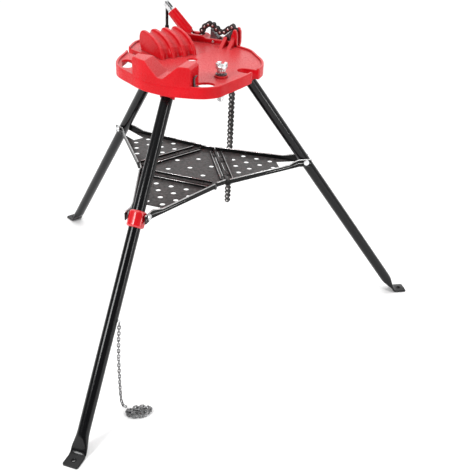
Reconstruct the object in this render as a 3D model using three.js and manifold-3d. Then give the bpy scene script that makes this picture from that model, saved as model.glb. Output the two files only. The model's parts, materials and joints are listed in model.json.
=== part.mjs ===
// Folding tripod pipe vise stand, in millimetres, +Z up, floor at z = 0.
// The plane x = 0 runs through the rear leg, the pipe rest and the vise jaws. The jaws are at +Y.
import * as THREE from 'three';
import { mergeVertices } from 'three/addons/utils/BufferGeometryUtils.js';
import Module from 'manifold-3d';

const wasm = await Module();
wasm.setup();

// Driving dimensions
const GAP = 0.3;
const TUBE_R = 16.7;
const TUBE_WALL = 3;
const LEG_TILT = THREE.MathUtils.degToRad(36.1);
const LEG_ANGLES = { rear: -90, right: 30, left: 150 };
const HINGE_R = 158;
const HINGE_Z = 815;
const HINGE_PIN_R = 6;
const LEG_TOP = 12;
const PIVOT_S = 354.7;
const FOOT_TIP = 790;
const FOOT_HALF = 23;
const FOOT_THICK = 7;

const TABLE_Z = 844;
const TABLE_THICK = 7;
const SKIRT_Z = 817;
const SKIRT_WALL = 8;
const LIP_HEIGHT = 5;
const LIP_WIDTH = 7;
const BOSS_HEIGHT = 6;
const REST = { left: -100, right: 83, top: 900, vHalf: 50, vFloor: 863, floorHalf: 8, back: -152 };
const BENDER = { x: -163, y: 115, turn: -35, ribs: 4, pitch: 37, flange: 5, groove: 11 };
const RIB = { length: 135, height: 61, corner: 24, undercut: 12, bulge: 18 };
const BRACE = { x: 120, y: -78, radius: 9, foot: 776, ring: 16 };

const VISE_Y = 250;
const CHEEK_HALF = 24;
const SLOT_HALF = 11.5;
const POCKET = { left: -101, right: -57.5 };
const JAW = { low: [5, 862], high: [34, 887], foot: 843, teeth: 5 };
const JAW_PINS = { left: -20, right: 19 };
const JAW_PIN_Z = 850;
const JAW_PIN_R = 4;
const ARM_TILT = THREE.MathUtils.degToRad(46);
const ARM_START = new THREE.Vector3(-78, VISE_Y, 828);
const ARM_END = 134;
const ARM_BASE_R = 17;
const ARM_R = 13.5;
const SCREW_R = 8;
const SWIVEL = { radius: 10, low: -17, high: 1, anchor: -9 };
const PIN_R = 3;
const HEAD_T = ARM_END + 4;
const FORK_T = HEAD_T + 2.5;
const PIN_T = HEAD_T + 20;
const HEAD_END = HEAD_T + 29;
const HEAD_R = 10.5;
const FORK_HALF = 5.5;
const HANDLE_LENGTH = 66;
const HANDLE_R = 4.7;
const CHAIN = { pitch: 19, pin: 8, waist: 5.5, half: 8.5 };
const TAIL_X = 42.5;
const TAIL_TOP = 868;
const TAIL_END = 296;

const TRAY_Z = 514;
const SHEET = 2;
const RIM = 14;
const FORK_RIM = 23;
const RIM_WALL = 3;
const FLANGE = 9;
const HINGE_LINE = 98;
const HINGE_BARREL = 5.5;
const HINGE_ROD_R = 3;
const PANEL_HALF = 124;
const THROAT = 280;
const ARM_KINK = 345;
const FORK_TIP = 384;
const HOLE_R = 8;
const CENTRE_PITCH = 72;
const WING_PITCH = 48;

const COLLAR = { radius: 26, end: 21.5, half: 22, sides: 8, drop: 12 };
const BUSH_R = 7;
const BOLT_R = 5;
const FORK_INNER = { rear: COLLAR.radius + 2.5, left: TUBE_R + 2.8, right: TUBE_R + 2.8 };
const HEAD_SIDE = { rear: 1, left: 1, right: -1 };

const EYE_S = 641;
const EYE_Y = 22;
const LINK_HALF = 4;
const HEAP = { x: 75, y: -542, rx: 36, ry: 29, height: 15 };

// The legs' sin and cos of tilt place points along each leg's axis, in that leg's own radial plane.
const SIN = Math.sin(LEG_TILT);
const COS = Math.cos(LEG_TILT);
const alongLeg = (s) => new THREE.Vector3(HINGE_R + s * SIN, 0, HINGE_Z - s * COS);
const PIVOT = alongLeg(PIVOT_S);
const ARM_DIR = new THREE.Vector3(-Math.cos(ARM_TILT), 0, Math.sin(ARM_TILT));
const alongArm = (t) => ARM_START.clone().addScaledVector(ARM_DIR, t);

const paint = (color, roughness, metalness) =>
  new THREE.MeshStandardMaterial({ color, roughness, metalness });
const RED = paint(0xc8161d, 0.35, 0.0);
const BLACK = paint(0x1b1b1d, 0.4, 0.2);
const SHEET_GREY = paint(0x2b2a2c, 0.5, 0.3);
const STEEL = paint(0x4a4a4d, 0.45, 0.9);
const ZINC = paint(0xc4c6c8, 0.3, 1.0);

// Closed-mesh helpers
function solid(geometry) {
  const bare = geometry.clone();
  bare.deleteAttribute('normal');
  bare.deleteAttribute('uv');
  const merged = mergeVertices(bare, 1e-4);
  const triVerts = new Uint32Array(merged.index.array);
  const vertProperties = new Float32Array(merged.attributes.position.array);
  return new wasm.Manifold(new wasm.Mesh({ numProp: 3, vertProperties, triVerts }));
}

function geometryOf(manifold) {
  const mesh = manifold.getMesh();
  const geometry = new THREE.BufferGeometry();
  geometry.setAttribute('position', new THREE.BufferAttribute(new Float32Array(mesh.vertProperties), 3));
  geometry.setIndex(Array.from(mesh.triVerts));
  return geometry;
}

const union = (solids) => solids.reduce((a, b) => a.add(b));
const cut = (body, tools) => tools.reduce((a, b) => a.subtract(b), body);

function box(x0, x1, y0, y1, z0, z1) {
  const geometry = new THREE.BoxGeometry(x1 - x0, y1 - y0, z1 - z0);
  return geometry.translate((x0 + x1) / 2, (y0 + y1) / 2, (z0 + z1) / 2);
}

function rod(radius, from, to, sides, tipRadius = radius) {
  const axis = new THREE.Vector3().subVectors(to, from);
  const geometry = new THREE.CylinderGeometry(tipRadius, radius, axis.length(), sides);
  const upward = new THREE.Vector3(0, 1, 0);
  const turn = new THREE.Quaternion().setFromUnitVectors(upward, axis.clone().normalize());
  geometry.applyQuaternion(turn);
  return geometry.translate((from.x + to.x) / 2, (from.y + to.y) / 2, (from.z + to.z) / 2);
}

const crossRod = (radius, x, z, y0, y1, sides) =>
  rod(radius, new THREE.Vector3(x, y0, z), new THREE.Vector3(x, y1, z), sides);

const upright = (radius, x, y, z0, z1, sides) =>
  rod(radius, new THREE.Vector3(x, y, z0), new THREE.Vector3(x, y, z1), sides);

function shapeOf(points) {
  return new THREE.Shape(points.map(([x, y]) => new THREE.Vector2(x, y)));
}

// A plan outline raised from z0 to z1.
function prism(points, z0, z1) {
  const geometry = new THREE.ExtrudeGeometry(shapeOf(points), { depth: z1 - z0, bevelEnabled: false });
  return geometry.translate(0, 0, z0);
}

// A profile in x and z, drawn out from y0 to y1.
function slab(points, y0, y1) {
  const geometry = new THREE.ExtrudeGeometry(shapeOf(points), { depth: y1 - y0, bevelEnabled: false });
  return geometry.rotateX(Math.PI / 2).translate(0, y1, 0);
}

// A closed body through rings of equal point counts.
function loft(rings) {
  const count = rings[0].length;
  const positions = rings.flat().flatMap((p) => [p.x, p.y, p.z]);
  const index = [];
  for (let r = 0; r + 1 < rings.length; r += 1) {
    for (let i = 0; i < count; i += 1) {
      const a = r * count + i;
      const b = r * count + ((i + 1) % count);
      index.push(a, b, a + count, b, b + count, a + count);
    }
  }
  const last = (rings.length - 1) * count;
  for (let i = 1; i + 1 < count; i += 1) {
    index.push(0, i + 1, i, last, last + i, last + i + 1);
  }
  const geometry = new THREE.BufferGeometry();
  geometry.setAttribute('position', new THREE.Float32BufferAttribute(positions, 3));
  geometry.setIndex(index);
  return geometry;
}

const root = new THREE.Group();
const stations = {};
for (const [side, degrees] of Object.entries(LEG_ANGLES)) {
  stations[side] = new THREE.Group();
  stations[side].rotation.z = THREE.MathUtils.degToRad(degrees);
  root.add(stations[side]);
}

function piece(name, geometry, material, parent = root) {
  const mesh = new THREE.Mesh(geometry, material);
  mesh.name = name;
  parent.add(mesh);
}

const turned = (geometry, degrees) => geometry.rotateZ(THREE.MathUtils.degToRad(degrees));

// Table outline, a smooth closed curve, and the same curve set in by a wall.
const TABLE_POINTS = [
  [0, -221], [60, -217], [118, -199], [147, -171], [160, -130], [184, -40], [197, 60], [181, 113],
  [150, 158], [104, 213], [0, 240], [-100, 234], [-195, 192], [-238, 140], [-231, 66], [-214, 0],
  [-204, -62], [-178, -122], [-112, -173], [-58, -206],
];
const OUTLINE_STEPS = 80;
const NOTCHES = [[188, 8, 100, 40, 0], [-207, 31, 100, 26, -27]];

function tableOutline(inset) {
  const curve = new THREE.CatmullRomCurve3(TABLE_POINTS.map(([x, y]) => new THREE.Vector3(x, y, 0)), true);
  return Array.from({ length: OUTLINE_STEPS }, (_, i) => {
    const at = curve.getPoint(i / OUTLINE_STEPS);
    const along = curve.getTangent(i / OUTLINE_STEPS);
    return [at.x - along.y * inset, at.y + along.x * inset];
  });
}

// A round-ended slot through the table.
function toolSlot(x, y, length, width, degrees) {
  const half = length / 2 - width / 2;
  const shape = new THREE.Shape();
  shape.absarc(half, 0, width / 2, -Math.PI / 2, Math.PI / 2);
  shape.absarc(-half, 0, width / 2, Math.PI / 2, (3 * Math.PI) / 2);
  const depth = TABLE_Z + 20 - SKIRT_Z;
  const geometry = new THREE.ExtrudeGeometry(shape, { depth, bevelEnabled: false, curveSegments: 6 });
  return turned(geometry, degrees).translate(x, y, SKIRT_Z - 1);
}

// The skirt follows each notch in from the edge.
function notchWall([x, y, length, width, degrees]) {
  const wall = toolSlot(x, y, length + 2 * SKIRT_WALL, width + 2 * SKIRT_WALL, degrees);
  return solid(wall).intersect(solid(prism(tableOutline(0), SKIRT_Z, TABLE_Z)));
}

function tableSolid() {
  const body = solid(prism(tableOutline(0), SKIRT_Z, TABLE_Z + LIP_HEIGHT));
  const under = solid(prism(tableOutline(SKIRT_WALL), SKIRT_Z - 1, TABLE_Z - TABLE_THICK));
  const top = solid(prism(tableOutline(LIP_WIDTH), TABLE_Z, TABLE_Z + LIP_HEIGHT + 1));
  return union([cut(body, [under, top]), ...NOTCHES.map(notchWall)]);
}

// A socket round each leg's top, open towards the centre so that the leg can swing in.
function housingSolid(degrees) {
  const shellR = TUBE_R + 9;
  const boreR = TUBE_R + 0.7;
  const reach = 27;
  const shell = solid(rod(shellR, alongLeg(-40), alongLeg(reach), 18, shellR - 5));
  const roof = solid(box(0, 300, -60, 60, TABLE_Z - TABLE_THICK / 2, TABLE_Z + 60));
  const bore = solid(rod(boreR, alongLeg(-30), alongLeg(reach + 5), 18));
  const swing = solid(crossRod(Math.hypot(TUBE_R, LEG_TOP) + 1, HINGE_R, HINGE_Z, -boreR, boreR, 18));
  const top = alongLeg(-(TABLE_Z - TABLE_THICK - HINGE_Z) / COS);
  const low = alongLeg(60);
  const mouth = solid(slab([[top.x, top.z], [60, top.z], [60, low.z], [low.x, low.z]], -boreR, boreR));
  const pinHole = solid(crossRod(HINGE_PIN_R + GAP, HINGE_R, HINGE_Z, -60, 60, 12));
  const housing = cut(shell, [roof, bore, swing, mouth]);
  const turn = new THREE.Matrix4().makeRotationZ(THREE.MathUtils.degToRad(degrees));
  return {
    body: housing.transform(turn.elements),
    hole: pinHole.transform(turn.elements),
    swing: swing.add(mouth).transform(turn.elements),
  };
}

// The pipe rest is a wall along the near edge with a V in its top.
function pipeRest() {
  const { left, right, top, vHalf, vFloor, floorHalf, back } = REST;
  const low = TABLE_Z + GAP;
  const chamfer = 6;
  const wall = slab([
    [left, low], [right, low], [right, top - chamfer], [right - chamfer, top],
    [vHalf, top], [floorHalf, vFloor], [-floorHalf, vFloor], [-vHalf, top],
    [left + chamfer, top], [left, top - chamfer],
  ], -250, back);
  return geometryOf(solid(wall).intersect(solid(prism(tableOutline(0.5), TABLE_Z, top + 5))));
}

// A bender rib seen from the side, along its run and up from the table, set in by an amount.
function ribProfile(inset) {
  const { length, height, corner, undercut, bulge } = RIB;
  const points = [[undercut + inset, GAP], [inset, bulge]];
  const steps = 4;
  for (let i = 0; i < steps; i += 1) {
    const a = (Math.PI / 2) * (i / steps);
    const r = corner - inset;
    points.push([corner - r * Math.cos(a), height - corner + r * Math.sin(a)]);
  }
  for (let i = 0; i < 6; i += 1) {
    const a = (Math.PI / 2) * (i / 6);
    points.push([corner + (length - corner - inset) * Math.sin(a), (height - inset) * Math.cos(a)]);
  }
  points.push([length - inset, GAP]);
  return points;
}

// The bender is a block of level ribs with round grooves between them.
function pipeBender() {
  const { x, y, turn, ribs, pitch, flange, groove } = BENDER;
  const half = ((ribs - 1) * pitch) / 2 + flange;
  const chamfer = 2.5;
  const stops = [[-half, chamfer], [-half + chamfer, 0]];
  for (let g = 0; g + 1 < ribs; g += 1) {
    const centre = (g - (ribs - 2) / 2) * pitch;
    for (let i = 0; i <= 6; i += 1) {
      const a = Math.PI * (i / 6);
      stops.push([centre - (pitch / 2 - flange) * Math.cos(a), groove * Math.sin(a)]);
    }
  }
  stops.push([half - chamfer, 0], [half, chamfer]);
  const rings = stops.map(([v, inset]) => ribProfile(inset).map(([u, z]) => new THREE.Vector3(u, v, z)));
  return turned(loft(rings), turn).translate(x, y, TABLE_Z);
}

// Jaw pedestal with the chain ears on the right and the screw arm on the left.
function visePedestal() {
  const y0 = VISE_Y - CHEEK_HALF;
  const y1 = VISE_Y + CHEEK_HALF;
  const pedestal = solid(slab([
    [-88, SKIRT_Z], [52, SKIRT_Z], [59, 850], [58, 882], [53, 894], [46, 895], [40, 878], [36, 858],
    [-46, 858], [-56, 864], [-108, 864], [-112, 846],
  ], y0, y1));
  const arm = solid(rod(ARM_BASE_R, alongArm(12), alongArm(ARM_END), 18, ARM_R));
  const webProfile = [[-70, 822], [-70, 850], [-158, 914], [-150, 894], [-104, 830]];
  const web = solid(slab(webProfile, VISE_Y - 7, VISE_Y + 7));
  const foot = TABLE_Z + GAP;
  const gusset = shapeOf([[y0 + 4, foot], [y0 + 4, TABLE_Z + 26], [y0 - 44, foot]]);
  const sideways = new THREE.Matrix4().set(0, 0, 1, 0, 1, 0, 0, 0, 0, 1, 0, 0, 0, 0, 0, 1);
  const gussets = [14, 40].map((x) => {
    const rib = new THREE.ExtrudeGeometry(gusset, { depth: 12, bevelEnabled: false });
    return solid(rib.applyMatrix4(sideways).translate(x, 0, 0));
  });
  const slot = (x0, x1, z0) => solid(box(x0, x1, VISE_Y - SLOT_HALF, VISE_Y + SLOT_HALF, z0, 1000));
  const slots = [
    slot(TAIL_X - 9, 80, 700),
    slot(-JAW.high[0] - 0.6, 40, JAW.foot - 0.4),
    slot(POCKET.left, POCKET.right, 700),
  ];
  const bore = solid(rod(SCREW_R + 0.6, alongArm(0), alongArm(ARM_END + 30), 14));
  const pinHoles = Object.values(JAW_PINS).map((x) =>
    solid(crossRod(JAW_PIN_R + GAP, x, JAW_PIN_Z, y0 - 5, y1 + 5, 12)));
  return geometryOf(cut(union([pedestal, arm, web, ...gussets]), [...slots, bore, ...pinHoles]));
}

// The table with its leg sockets and brace boss; the rest, the bender and the pedestal stand on it.
function viseBase() {
  const housings = Object.values(LEG_ANGLES).map(housingSolid);
  const boss = solid(upright(19, BRACE.x, BRACE.y, TABLE_Z - 30, TABLE_Z + BOSS_HEIGHT, 18));
  const body = union([tableSolid(), ...housings.map((h) => h.body), boss]);
  const tools = [
    upright(15, -14, 40, SKIRT_Z - 1, TABLE_Z + 20, 20),
    upright(BRACE.radius + 0.5, BRACE.x, BRACE.y, SKIRT_Z - 20, TABLE_Z + 20, 16),
    toolSlot(107.5, -160, 48, 40, 30),
    toolSlot(-163, -85, 78, 30, 118),
    ...NOTCHES.map((notch) => toolSlot(...notch)),
    box(REST.left - GAP, REST.right + GAP, -260, REST.back + GAP, TABLE_Z, TABLE_Z + 20),
    box(-113, 60, VISE_Y - CHEEK_HALF - GAP, 300, SKIRT_Z - 1, TABLE_Z + 20),
    box(-113, 60, VISE_Y - CHEEK_HALF - 12, 300, TABLE_Z, TABLE_Z + 20),
  ].map(solid);
  const clear = housings.flatMap((h) => [h.swing, h.hole]);
  return geometryOf(cut(body, [...tools, ...clear]));
}

piece('vise_base', viseBase(), RED);
piece('pipe_rest', pipeRest(), RED);
piece('pipe_bender', pipeBender(), RED);
piece('vise_pedestal', visePedestal(), RED);

// Toothed V jaws, mirrored about x = 0, on cross pins.
function jaw(side) {
  const { low, high, foot, teeth } = JAW;
  const sign = side === 'left' ? -1 : 1;
  const lerp = (t, k) => low[k] + (high[k] - low[k]) * t;
  const points = [[high[0], foot], [low[0], foot], low];
  for (let i = 1; i <= teeth; i += 1) {
    const root0 = (i - 0.5) / teeth;
    points.push([lerp(root0, 0) + 1.6, lerp(root0, 1) - 1.9], [lerp(i / teeth, 0), lerp(i / teeth, 1)]);
  }
  const inset = sign > 0 ? 1 : 0;
  const profile = points.map(([x, z]) => [sign * (x - inset), z]);
  const block = solid(slab(profile, VISE_Y - SLOT_HALF + GAP, VISE_Y + SLOT_HALF - GAP));
  const pinHole = solid(crossRod(JAW_PIN_R + GAP, JAW_PINS[side], JAW_PIN_Z, 200, 300, 12));
  return geometryOf(block.subtract(pinHole));
}

for (const [side, x] of Object.entries(JAW_PINS)) {
  piece(`jaw_${side}`, jaw(side), STEEL);
  const reach = CHEEK_HALF + 2;
  piece(`jaw_pin_${side}`, crossRod(JAW_PIN_R, x, JAW_PIN_Z, VISE_Y - reach, VISE_Y + reach, 12), ZINC);
}

// Tightening screw: a swivel in the pocket, the screw through the arm, and a bar that hangs from its fork.
const anchor = alongArm(SWIVEL.anchor);
const handlePin = alongArm(PIN_T);

function tighteningSwivel() {
  const block = solid(rod(SWIVEL.radius, alongArm(SWIVEL.low), alongArm(SWIVEL.high), 14));
  return geometryOf(block.subtract(solid(crossRod(PIN_R + GAP, anchor.x, anchor.z, 200, 300, 12))));
}

function tighteningScrew() {
  const shank = solid(rod(SCREW_R, alongArm(SWIVEL.high + GAP), alongArm(HEAD_T + 1), 14));
  const head = solid(rod(HEAD_R, alongArm(HEAD_T), alongArm(HEAD_END), 16));
  const across = new THREE.Vector3(ARM_DIR.z, 0, -ARM_DIR.x);
  const corners = [[FORK_T, -20], [FORK_T, 20], [HEAD_END + 10, 20], [HEAD_END + 10, -20]]
    .map(([t, side]) => alongArm(t).addScaledVector(across, side))
    .map((p) => [p.x, p.z]);
  const forkSlot = solid(slab(corners, VISE_Y - FORK_HALF, VISE_Y + FORK_HALF));
  const pinHole = solid(crossRod(PIN_R + GAP, handlePin.x, handlePin.z, 200, 300, 12));
  return geometryOf(cut(shank.add(head), [forkSlot, pinHole]));
}

function screwHandle() {
  const { x, z } = handlePin;
  const end = z - HANDLE_LENGTH;
  const eye = solid(crossRod(6.5, x, z, VISE_Y - FORK_HALF + 0.6, VISE_Y + FORK_HALF - 0.6, 14));
  const bar = solid(upright(HANDLE_R, x, VISE_Y, end, z - 4, 12));
  const knob = solid(upright(HANDLE_R + 2, x, VISE_Y, end - 8, end, 12));
  return geometryOf(union([eye, bar, knob]).subtract(solid(crossRod(PIN_R + GAP, x, z, 200, 300, 12))));
}

piece('tightening_swivel', tighteningSwivel(), STEEL);
piece('chain_anchor_pin', crossRod(PIN_R, anchor.x, anchor.z, VISE_Y - 11, VISE_Y + 11, 12), ZINC);
piece('tightening_screw', tighteningScrew(), ZINC);
piece('handle_pin', crossRod(PIN_R, handlePin.x, handlePin.z, VISE_Y - HEAD_R, VISE_Y + HEAD_R, 12), ZINC);
piece('screw_handle', screwHandle(), BLACK);

// Link chain as one scalloped strap: wide at each pin, waisted between the pins.
function chainStrap(points) {
  const curve = new THREE.CatmullRomCurve3(points.map(([x, z]) => new THREE.Vector3(x, 0, z)));
  const steps = Math.round(curve.getLength() / CHAIN.pitch) * 2;
  const left = [];
  const right = [];
  for (let i = 0; i <= steps; i += 1) {
    const at = curve.getPointAt(i / steps);
    const along = curve.getTangentAt(i / steps);
    const half = i % 2 === 0 ? CHAIN.waist : CHAIN.pin;
    left.push([at.x - along.z * half, at.z + along.x * half]);
    right.unshift([at.x + along.z * half, at.z - along.x * half]);
  }
  return slab([...left, ...right], VISE_Y - CHAIN.half, VISE_Y + CHAIN.half);
}

piece('vise_chain_over_jaw', chainStrap([
  [-66, 846], [-66, 862], [-64, 878], [-53, 892], [-40, 898], [-27, 894], [-13, 882.5], [0, 876.5],
  [13, 882.5], [27, 894], [37, 898], [TAIL_X, 889], [TAIL_X, TAIL_TOP + 4],
]), STEEL);
piece('vise_chain_tail', chainStrap([[TAIL_X, TAIL_TOP - 0.5], [TAIL_X, 580], [TAIL_X, TAIL_END]]), STEEL);

// Ceiling brace: a screw with a toothed crown, turning on a thrust ring.
const RING_TOP = TABLE_Z + BOSS_HEIGHT + 4.7;

function braceScrew() {
  const { x, y, radius, foot } = BRACE;
  const base = RING_TOP + GAP;
  const shank = solid(upright(radius, x, y, foot, base + 8, 14));
  const body = solid(upright(12.5, x, y, base, base + 14, 6));
  const crown = solid(upright(16.5, x, y, base + 13, base + 29, 16));
  const notches = [0, 90].map((turn) => {
    const groove = box(-30, 30, -5, 5, base + 21, base + 40);
    return solid(turned(groove, turn).translate(x, y, 0));
  });
  return geometryOf(cut(union([shank, body, crown]), notches));
}

function braceRing() {
  const { x, y, radius, ring } = BRACE;
  const disc = solid(upright(ring, x, y, TABLE_Z + BOSS_HEIGHT + GAP, RING_TOP, 16));
  return geometryOf(disc.subtract(solid(upright(radius + 0.4, x, y, SKIRT_Z, TABLE_Z + 60, 16))));
}

piece('ceiling_brace_screw', braceScrew(), ZINC);
piece('brace_ring', braceRing(), STEEL);

// Spring clip beside the pipe rest, drawn from the rest's right face and the table top.
const CLIP_PROFILE = [[1, GAP], [14, GAP], [14, 3], [4, 3], [4, 22], [10, 30], [8, 33], [1, 24]];
const clipAt = CLIP_PROFILE.map(([x, z]) => [REST.right + x, TABLE_Z + z]);
piece('rest_clip', slab(clipAt, -195, -185), STEEL);

// A leg tube: round down to the ankle, then flattened and bent out to a drilled foot.
function legRing({ at, normal, wide, thick }) {
  const sides = 16;
  return Array.from({ length: sides }, (_, i) => {
    const angle = (2 * Math.PI * i) / sides;
    const c = Math.cos(angle);
    const shift = Math.abs(c) < 1e-6 ? 0 : Math.sign(c) * (wide - thick);
    const flatness = wide > thick ? 1.25 : 1;
    const lift = thick * THREE.MathUtils.clamp(flatness * Math.sin(angle), -1, 1);
    return new THREE.Vector3(at.x + normal.x * lift, shift + thick * c, at.z + normal.z * lift);
  });
}

function legGeometry() {
  const square = new THREE.Vector3(COS, 0, SIN);
  const level = new THREE.Vector3(0, 0, 1);
  const bend = new THREE.Vector3(0.45, 0, 0.89);
  const half = FOOT_THICK / 2;
  const rings = [
    { at: alongLeg(-LEG_TOP), normal: square, wide: TUBE_R, thick: TUBE_R },
    { at: alongLeg(946), normal: square, wide: TUBE_R, thick: TUBE_R },
    { at: alongLeg(968), normal: square, wide: 20, thick: 10 },
    { at: alongLeg(988), normal: square, wide: FOOT_HALF, thick: half },
    { at: new THREE.Vector3(748, 0, 6.5), normal: bend, wide: FOOT_HALF, thick: half },
    { at: new THREE.Vector3(757, 0, half), normal: level, wide: FOOT_HALF, thick: half },
    { at: new THREE.Vector3(FOOT_TIP, 0, half), normal: level, wide: FOOT_HALF, thick: half },
  ];
  const bore = rod(TUBE_R - TUBE_WALL, alongLeg(-LEG_TOP - 2), alongLeg(930), 12);
  const tools = [
    bore,
    crossRod(HINGE_PIN_R + GAP, HINGE_R, HINGE_Z, -30, 30, 12),
    crossRod(BUSH_R + GAP, PIVOT.x, PIVOT.z, -30, 30, 12),
    upright(5, 770, 0, -5, 20, 10),
  ];
  return geometryOf(cut(solid(loft(rings.map(legRing))), tools.map(solid)));
}

// Round stock along the tangential axis, from radius and y pairs.
function crossLathe(profile, x, z, sides) {
  const geometry = new THREE.LatheGeometry(profile.map(([r, y]) => new THREE.Vector2(r, y)), sides);
  return geometry.translate(x, 0, z);
}

function hingePin() {
  const half = TUBE_R + 10;
  const end = half + 4;
  const profile = [[0, -end], [9, -end], [9, -half], [HINGE_PIN_R, -half], [HINGE_PIN_R, end], [0, end]];
  return crossLathe(profile, HINGE_R, HINGE_Z, 12);
}

function pivotBush() {
  const half = Math.sqrt(TUBE_R ** 2 - BUSH_R ** 2);
  const bore = BOLT_R + 0.2;
  const ring = [[bore, -half], [BUSH_R, -half], [BUSH_R, half], [bore, half], [bore, -half]];
  return crossLathe(ring, PIVOT.x, PIVOT.z, 12);
}

// One end of the tray bolt: a head outside the fork arm and a shank through it that stops short of the leg.
function forkStub(side, sign, headThick, sides) {
  const headR = 9;
  const outer = FORK_INNER[side] + RIM_WALL + GAP;
  const end = outer + headThick;
  const tip = side === 'rear' ? COLLAR.radius + 0.6 : TUBE_R + 0.8;
  const profile = [[0, tip], [BOLT_R, tip], [BOLT_R, outer], [headR, outer], [headR, end], [0, end]];
  const stub = crossLathe(profile, 0, 0, sides);
  if (sign < 0) stub.rotateZ(Math.PI);
  return stub.translate(PIVOT.x, 0, PIVOT.z);
}

// Holes of a perforated panel: a staggered grid kept where the test allows.
function gridHoles(pitch, range, allowed) {
  const tools = [];
  const rowStep = pitch * 0.8;
  for (let row = -8; row <= 8; row += 1) {
    for (let col = -8; col <= 8; col += 1) {
      const x = range + row * rowStep;
      const y = (col + (Math.abs(row) % 2) / 2) * pitch;
      if (allowed(x, y)) tools.push(solid(upright(HOLE_R, x, y, TRAY_Z - 5, TRAY_Z + 10, 10)));
    }
  }
  return tools;
}

// Barrels on the hinge line with the sheet tongues that carry them, inside or outside the line.
function knuckles(from, to, inside) {
  const z = TRAY_Z + SHEET / 2;
  const tongue = inside ? [HINGE_LINE - 9, HINGE_LINE - 4] : [HINGE_LINE + 4, HINGE_LINE + 9];
  const parts = [-1, 1].flatMap((sign) => {
    const [y0, y1] = sign > 0 ? [from, to] : [-to, -from];
    return [
      solid(crossRod(HINGE_BARREL, HINGE_LINE, z, y0, y1, 14)),
      solid(box(...tongue, y0, y1, TRAY_Z, TRAY_Z + SHEET)),
    ];
  });
  const bore = solid(crossRod(HINGE_ROD_R + GAP, HINGE_LINE, z, -200, 200, 14));
  return { parts, bore };
}

const atAngle = (body, degrees) =>
  body.transform(new THREE.Matrix4().makeRotationZ(THREE.MathUtils.degToRad(degrees)).elements);

// A short run of rim at the end of a hinge line, where the rims on its two sides all but meet.
function rimLap(sign, x0, x1, z0) {
  const [y0, y1] = [PANEL_HALF - RIM_WALL, PANEL_HALF].map((y) => sign * y).sort((a, b) => a - b);
  return solid(box(x0, x1, y0, y1, z0, TRAY_Z + RIM));
}

function trayCentre() {
  const edge = HINGE_LINE - 7;
  const corners = Object.values(LEG_ANGLES).flatMap((degrees) => {
    const a = THREE.MathUtils.degToRad(degrees);
    return [-PANEL_HALF, PANEL_HALF].map((y) => [
      edge * Math.cos(a) - y * Math.sin(a),
      edge * Math.sin(a) + y * Math.cos(a),
    ]);
  });
  const parts = [solid(prism(corners, TRAY_Z, TRAY_Z + SHEET))];
  const bores = [];
  const cornerR = edge / 2 + PANEL_HALF * (Math.sqrt(3) / 2);
  const cornerHalf = (edge * Math.sqrt(3) - PANEL_HALF) / 2;
  for (const degrees of Object.values(LEG_ANGLES)) {
    const hinge = knuckles(72, 112, true);
    const flange = solid(box(HINGE_LINE - 19, HINGE_LINE - 17, -104, 104, TRAY_Z, TRAY_Z + FLANGE));
    const laps = [-1, 1].map((sign) => rimLap(sign, edge - 4, HINGE_LINE - 1, TRAY_Z));
    parts.push(...[...hinge.parts, flange, ...laps].map((part) => atAngle(part, degrees)));
    bores.push(atAngle(hinge.bore, degrees));
    const rim = solid(box(cornerR - SHEET, cornerR, -cornerHalf, cornerHalf, TRAY_Z, TRAY_Z + RIM));
    parts.push(atAngle(rim, degrees + 60));
  }
  const inField = (x, y) => Object.values(LEG_ANGLES).every((degrees) => {
    const a = THREE.MathUtils.degToRad(degrees);
    return x * Math.cos(a) + y * Math.sin(a) < edge - 20;
  });
  return geometryOf(cut(union(parts), [...bores, ...gridHoles(CENTRE_PITCH, 0, inField)]));
}

piece('tray_centre', trayCentre(), SHEET_GREY);

// A wing tapers from its hinge to a fork that straddles the leg.
function trayWing(side) {
  const inner = FORK_INNER[side];
  const outer = inner + RIM_WALL;
  const base = HINGE_LINE + 7;
  const halfAt = (x) => PANEL_HALF + ((outer - PANEL_HALF) * (x - base)) / (ARM_KINK - base);
  const plan = [
    [base, -PANEL_HALF], [ARM_KINK, -outer], [ARM_KINK, -inner], [THROAT, -inner],
    [THROAT, inner], [ARM_KINK, inner], [ARM_KINK, outer], [base, PANEL_HALF],
  ];
  const sheet = solid(prism(plan, TRAY_Z, TRAY_Z + SHEET));
  const rimPlan = [
    [base, PANEL_HALF], [base, PANEL_HALF - RIM_WALL], [ARM_KINK - 1, inner], [FORK_TIP, inner],
    [FORK_TIP, outer], [ARM_KINK, outer],
  ];
  const low = solid(slab([
    [base - 20, TRAY_Z + RIM], [ARM_KINK - 40, TRAY_Z + RIM], [ARM_KINK - 8, TRAY_Z + FORK_RIM],
    [ARM_KINK - 8, TRAY_Z + 50], [base - 20, TRAY_Z + 50],
  ], -200, 200));
  const rims = [-1, 1].flatMap((sign) => [
    solid(prism(rimPlan.map(([x, y]) => [x, sign * y]), TRAY_Z, TRAY_Z + FORK_RIM)).subtract(low),
    rimLap(sign, HINGE_LINE + 1, base + 2, TRAY_Z + SHEET),
  ]);
  const flange = solid(box(HINGE_LINE + 17, HINGE_LINE + 19, -104, 104, TRAY_Z, TRAY_Z + FLANGE));
  const hinge = knuckles(30, 70, false);
  const boltHole = solid(crossRod(BOLT_R + GAP, PIVOT.x, PIVOT.z, -60, 60, 12));
  const clearOfThroat = (x, y) => x < THROAT - 10 || Math.abs(y) > inner + HOLE_R + 3;
  const inField = (x, y) => x > base + 26 && Math.abs(y) < halfAt(x) - 14 && clearOfThroat(x, y);
  const holes = gridHoles(WING_PITCH, base + 40, inField);
  return geometryOf(cut(union([sheet, ...rims, flange, ...hinge.parts]), [hinge.bore, boltHole, ...holes]));
}

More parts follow.
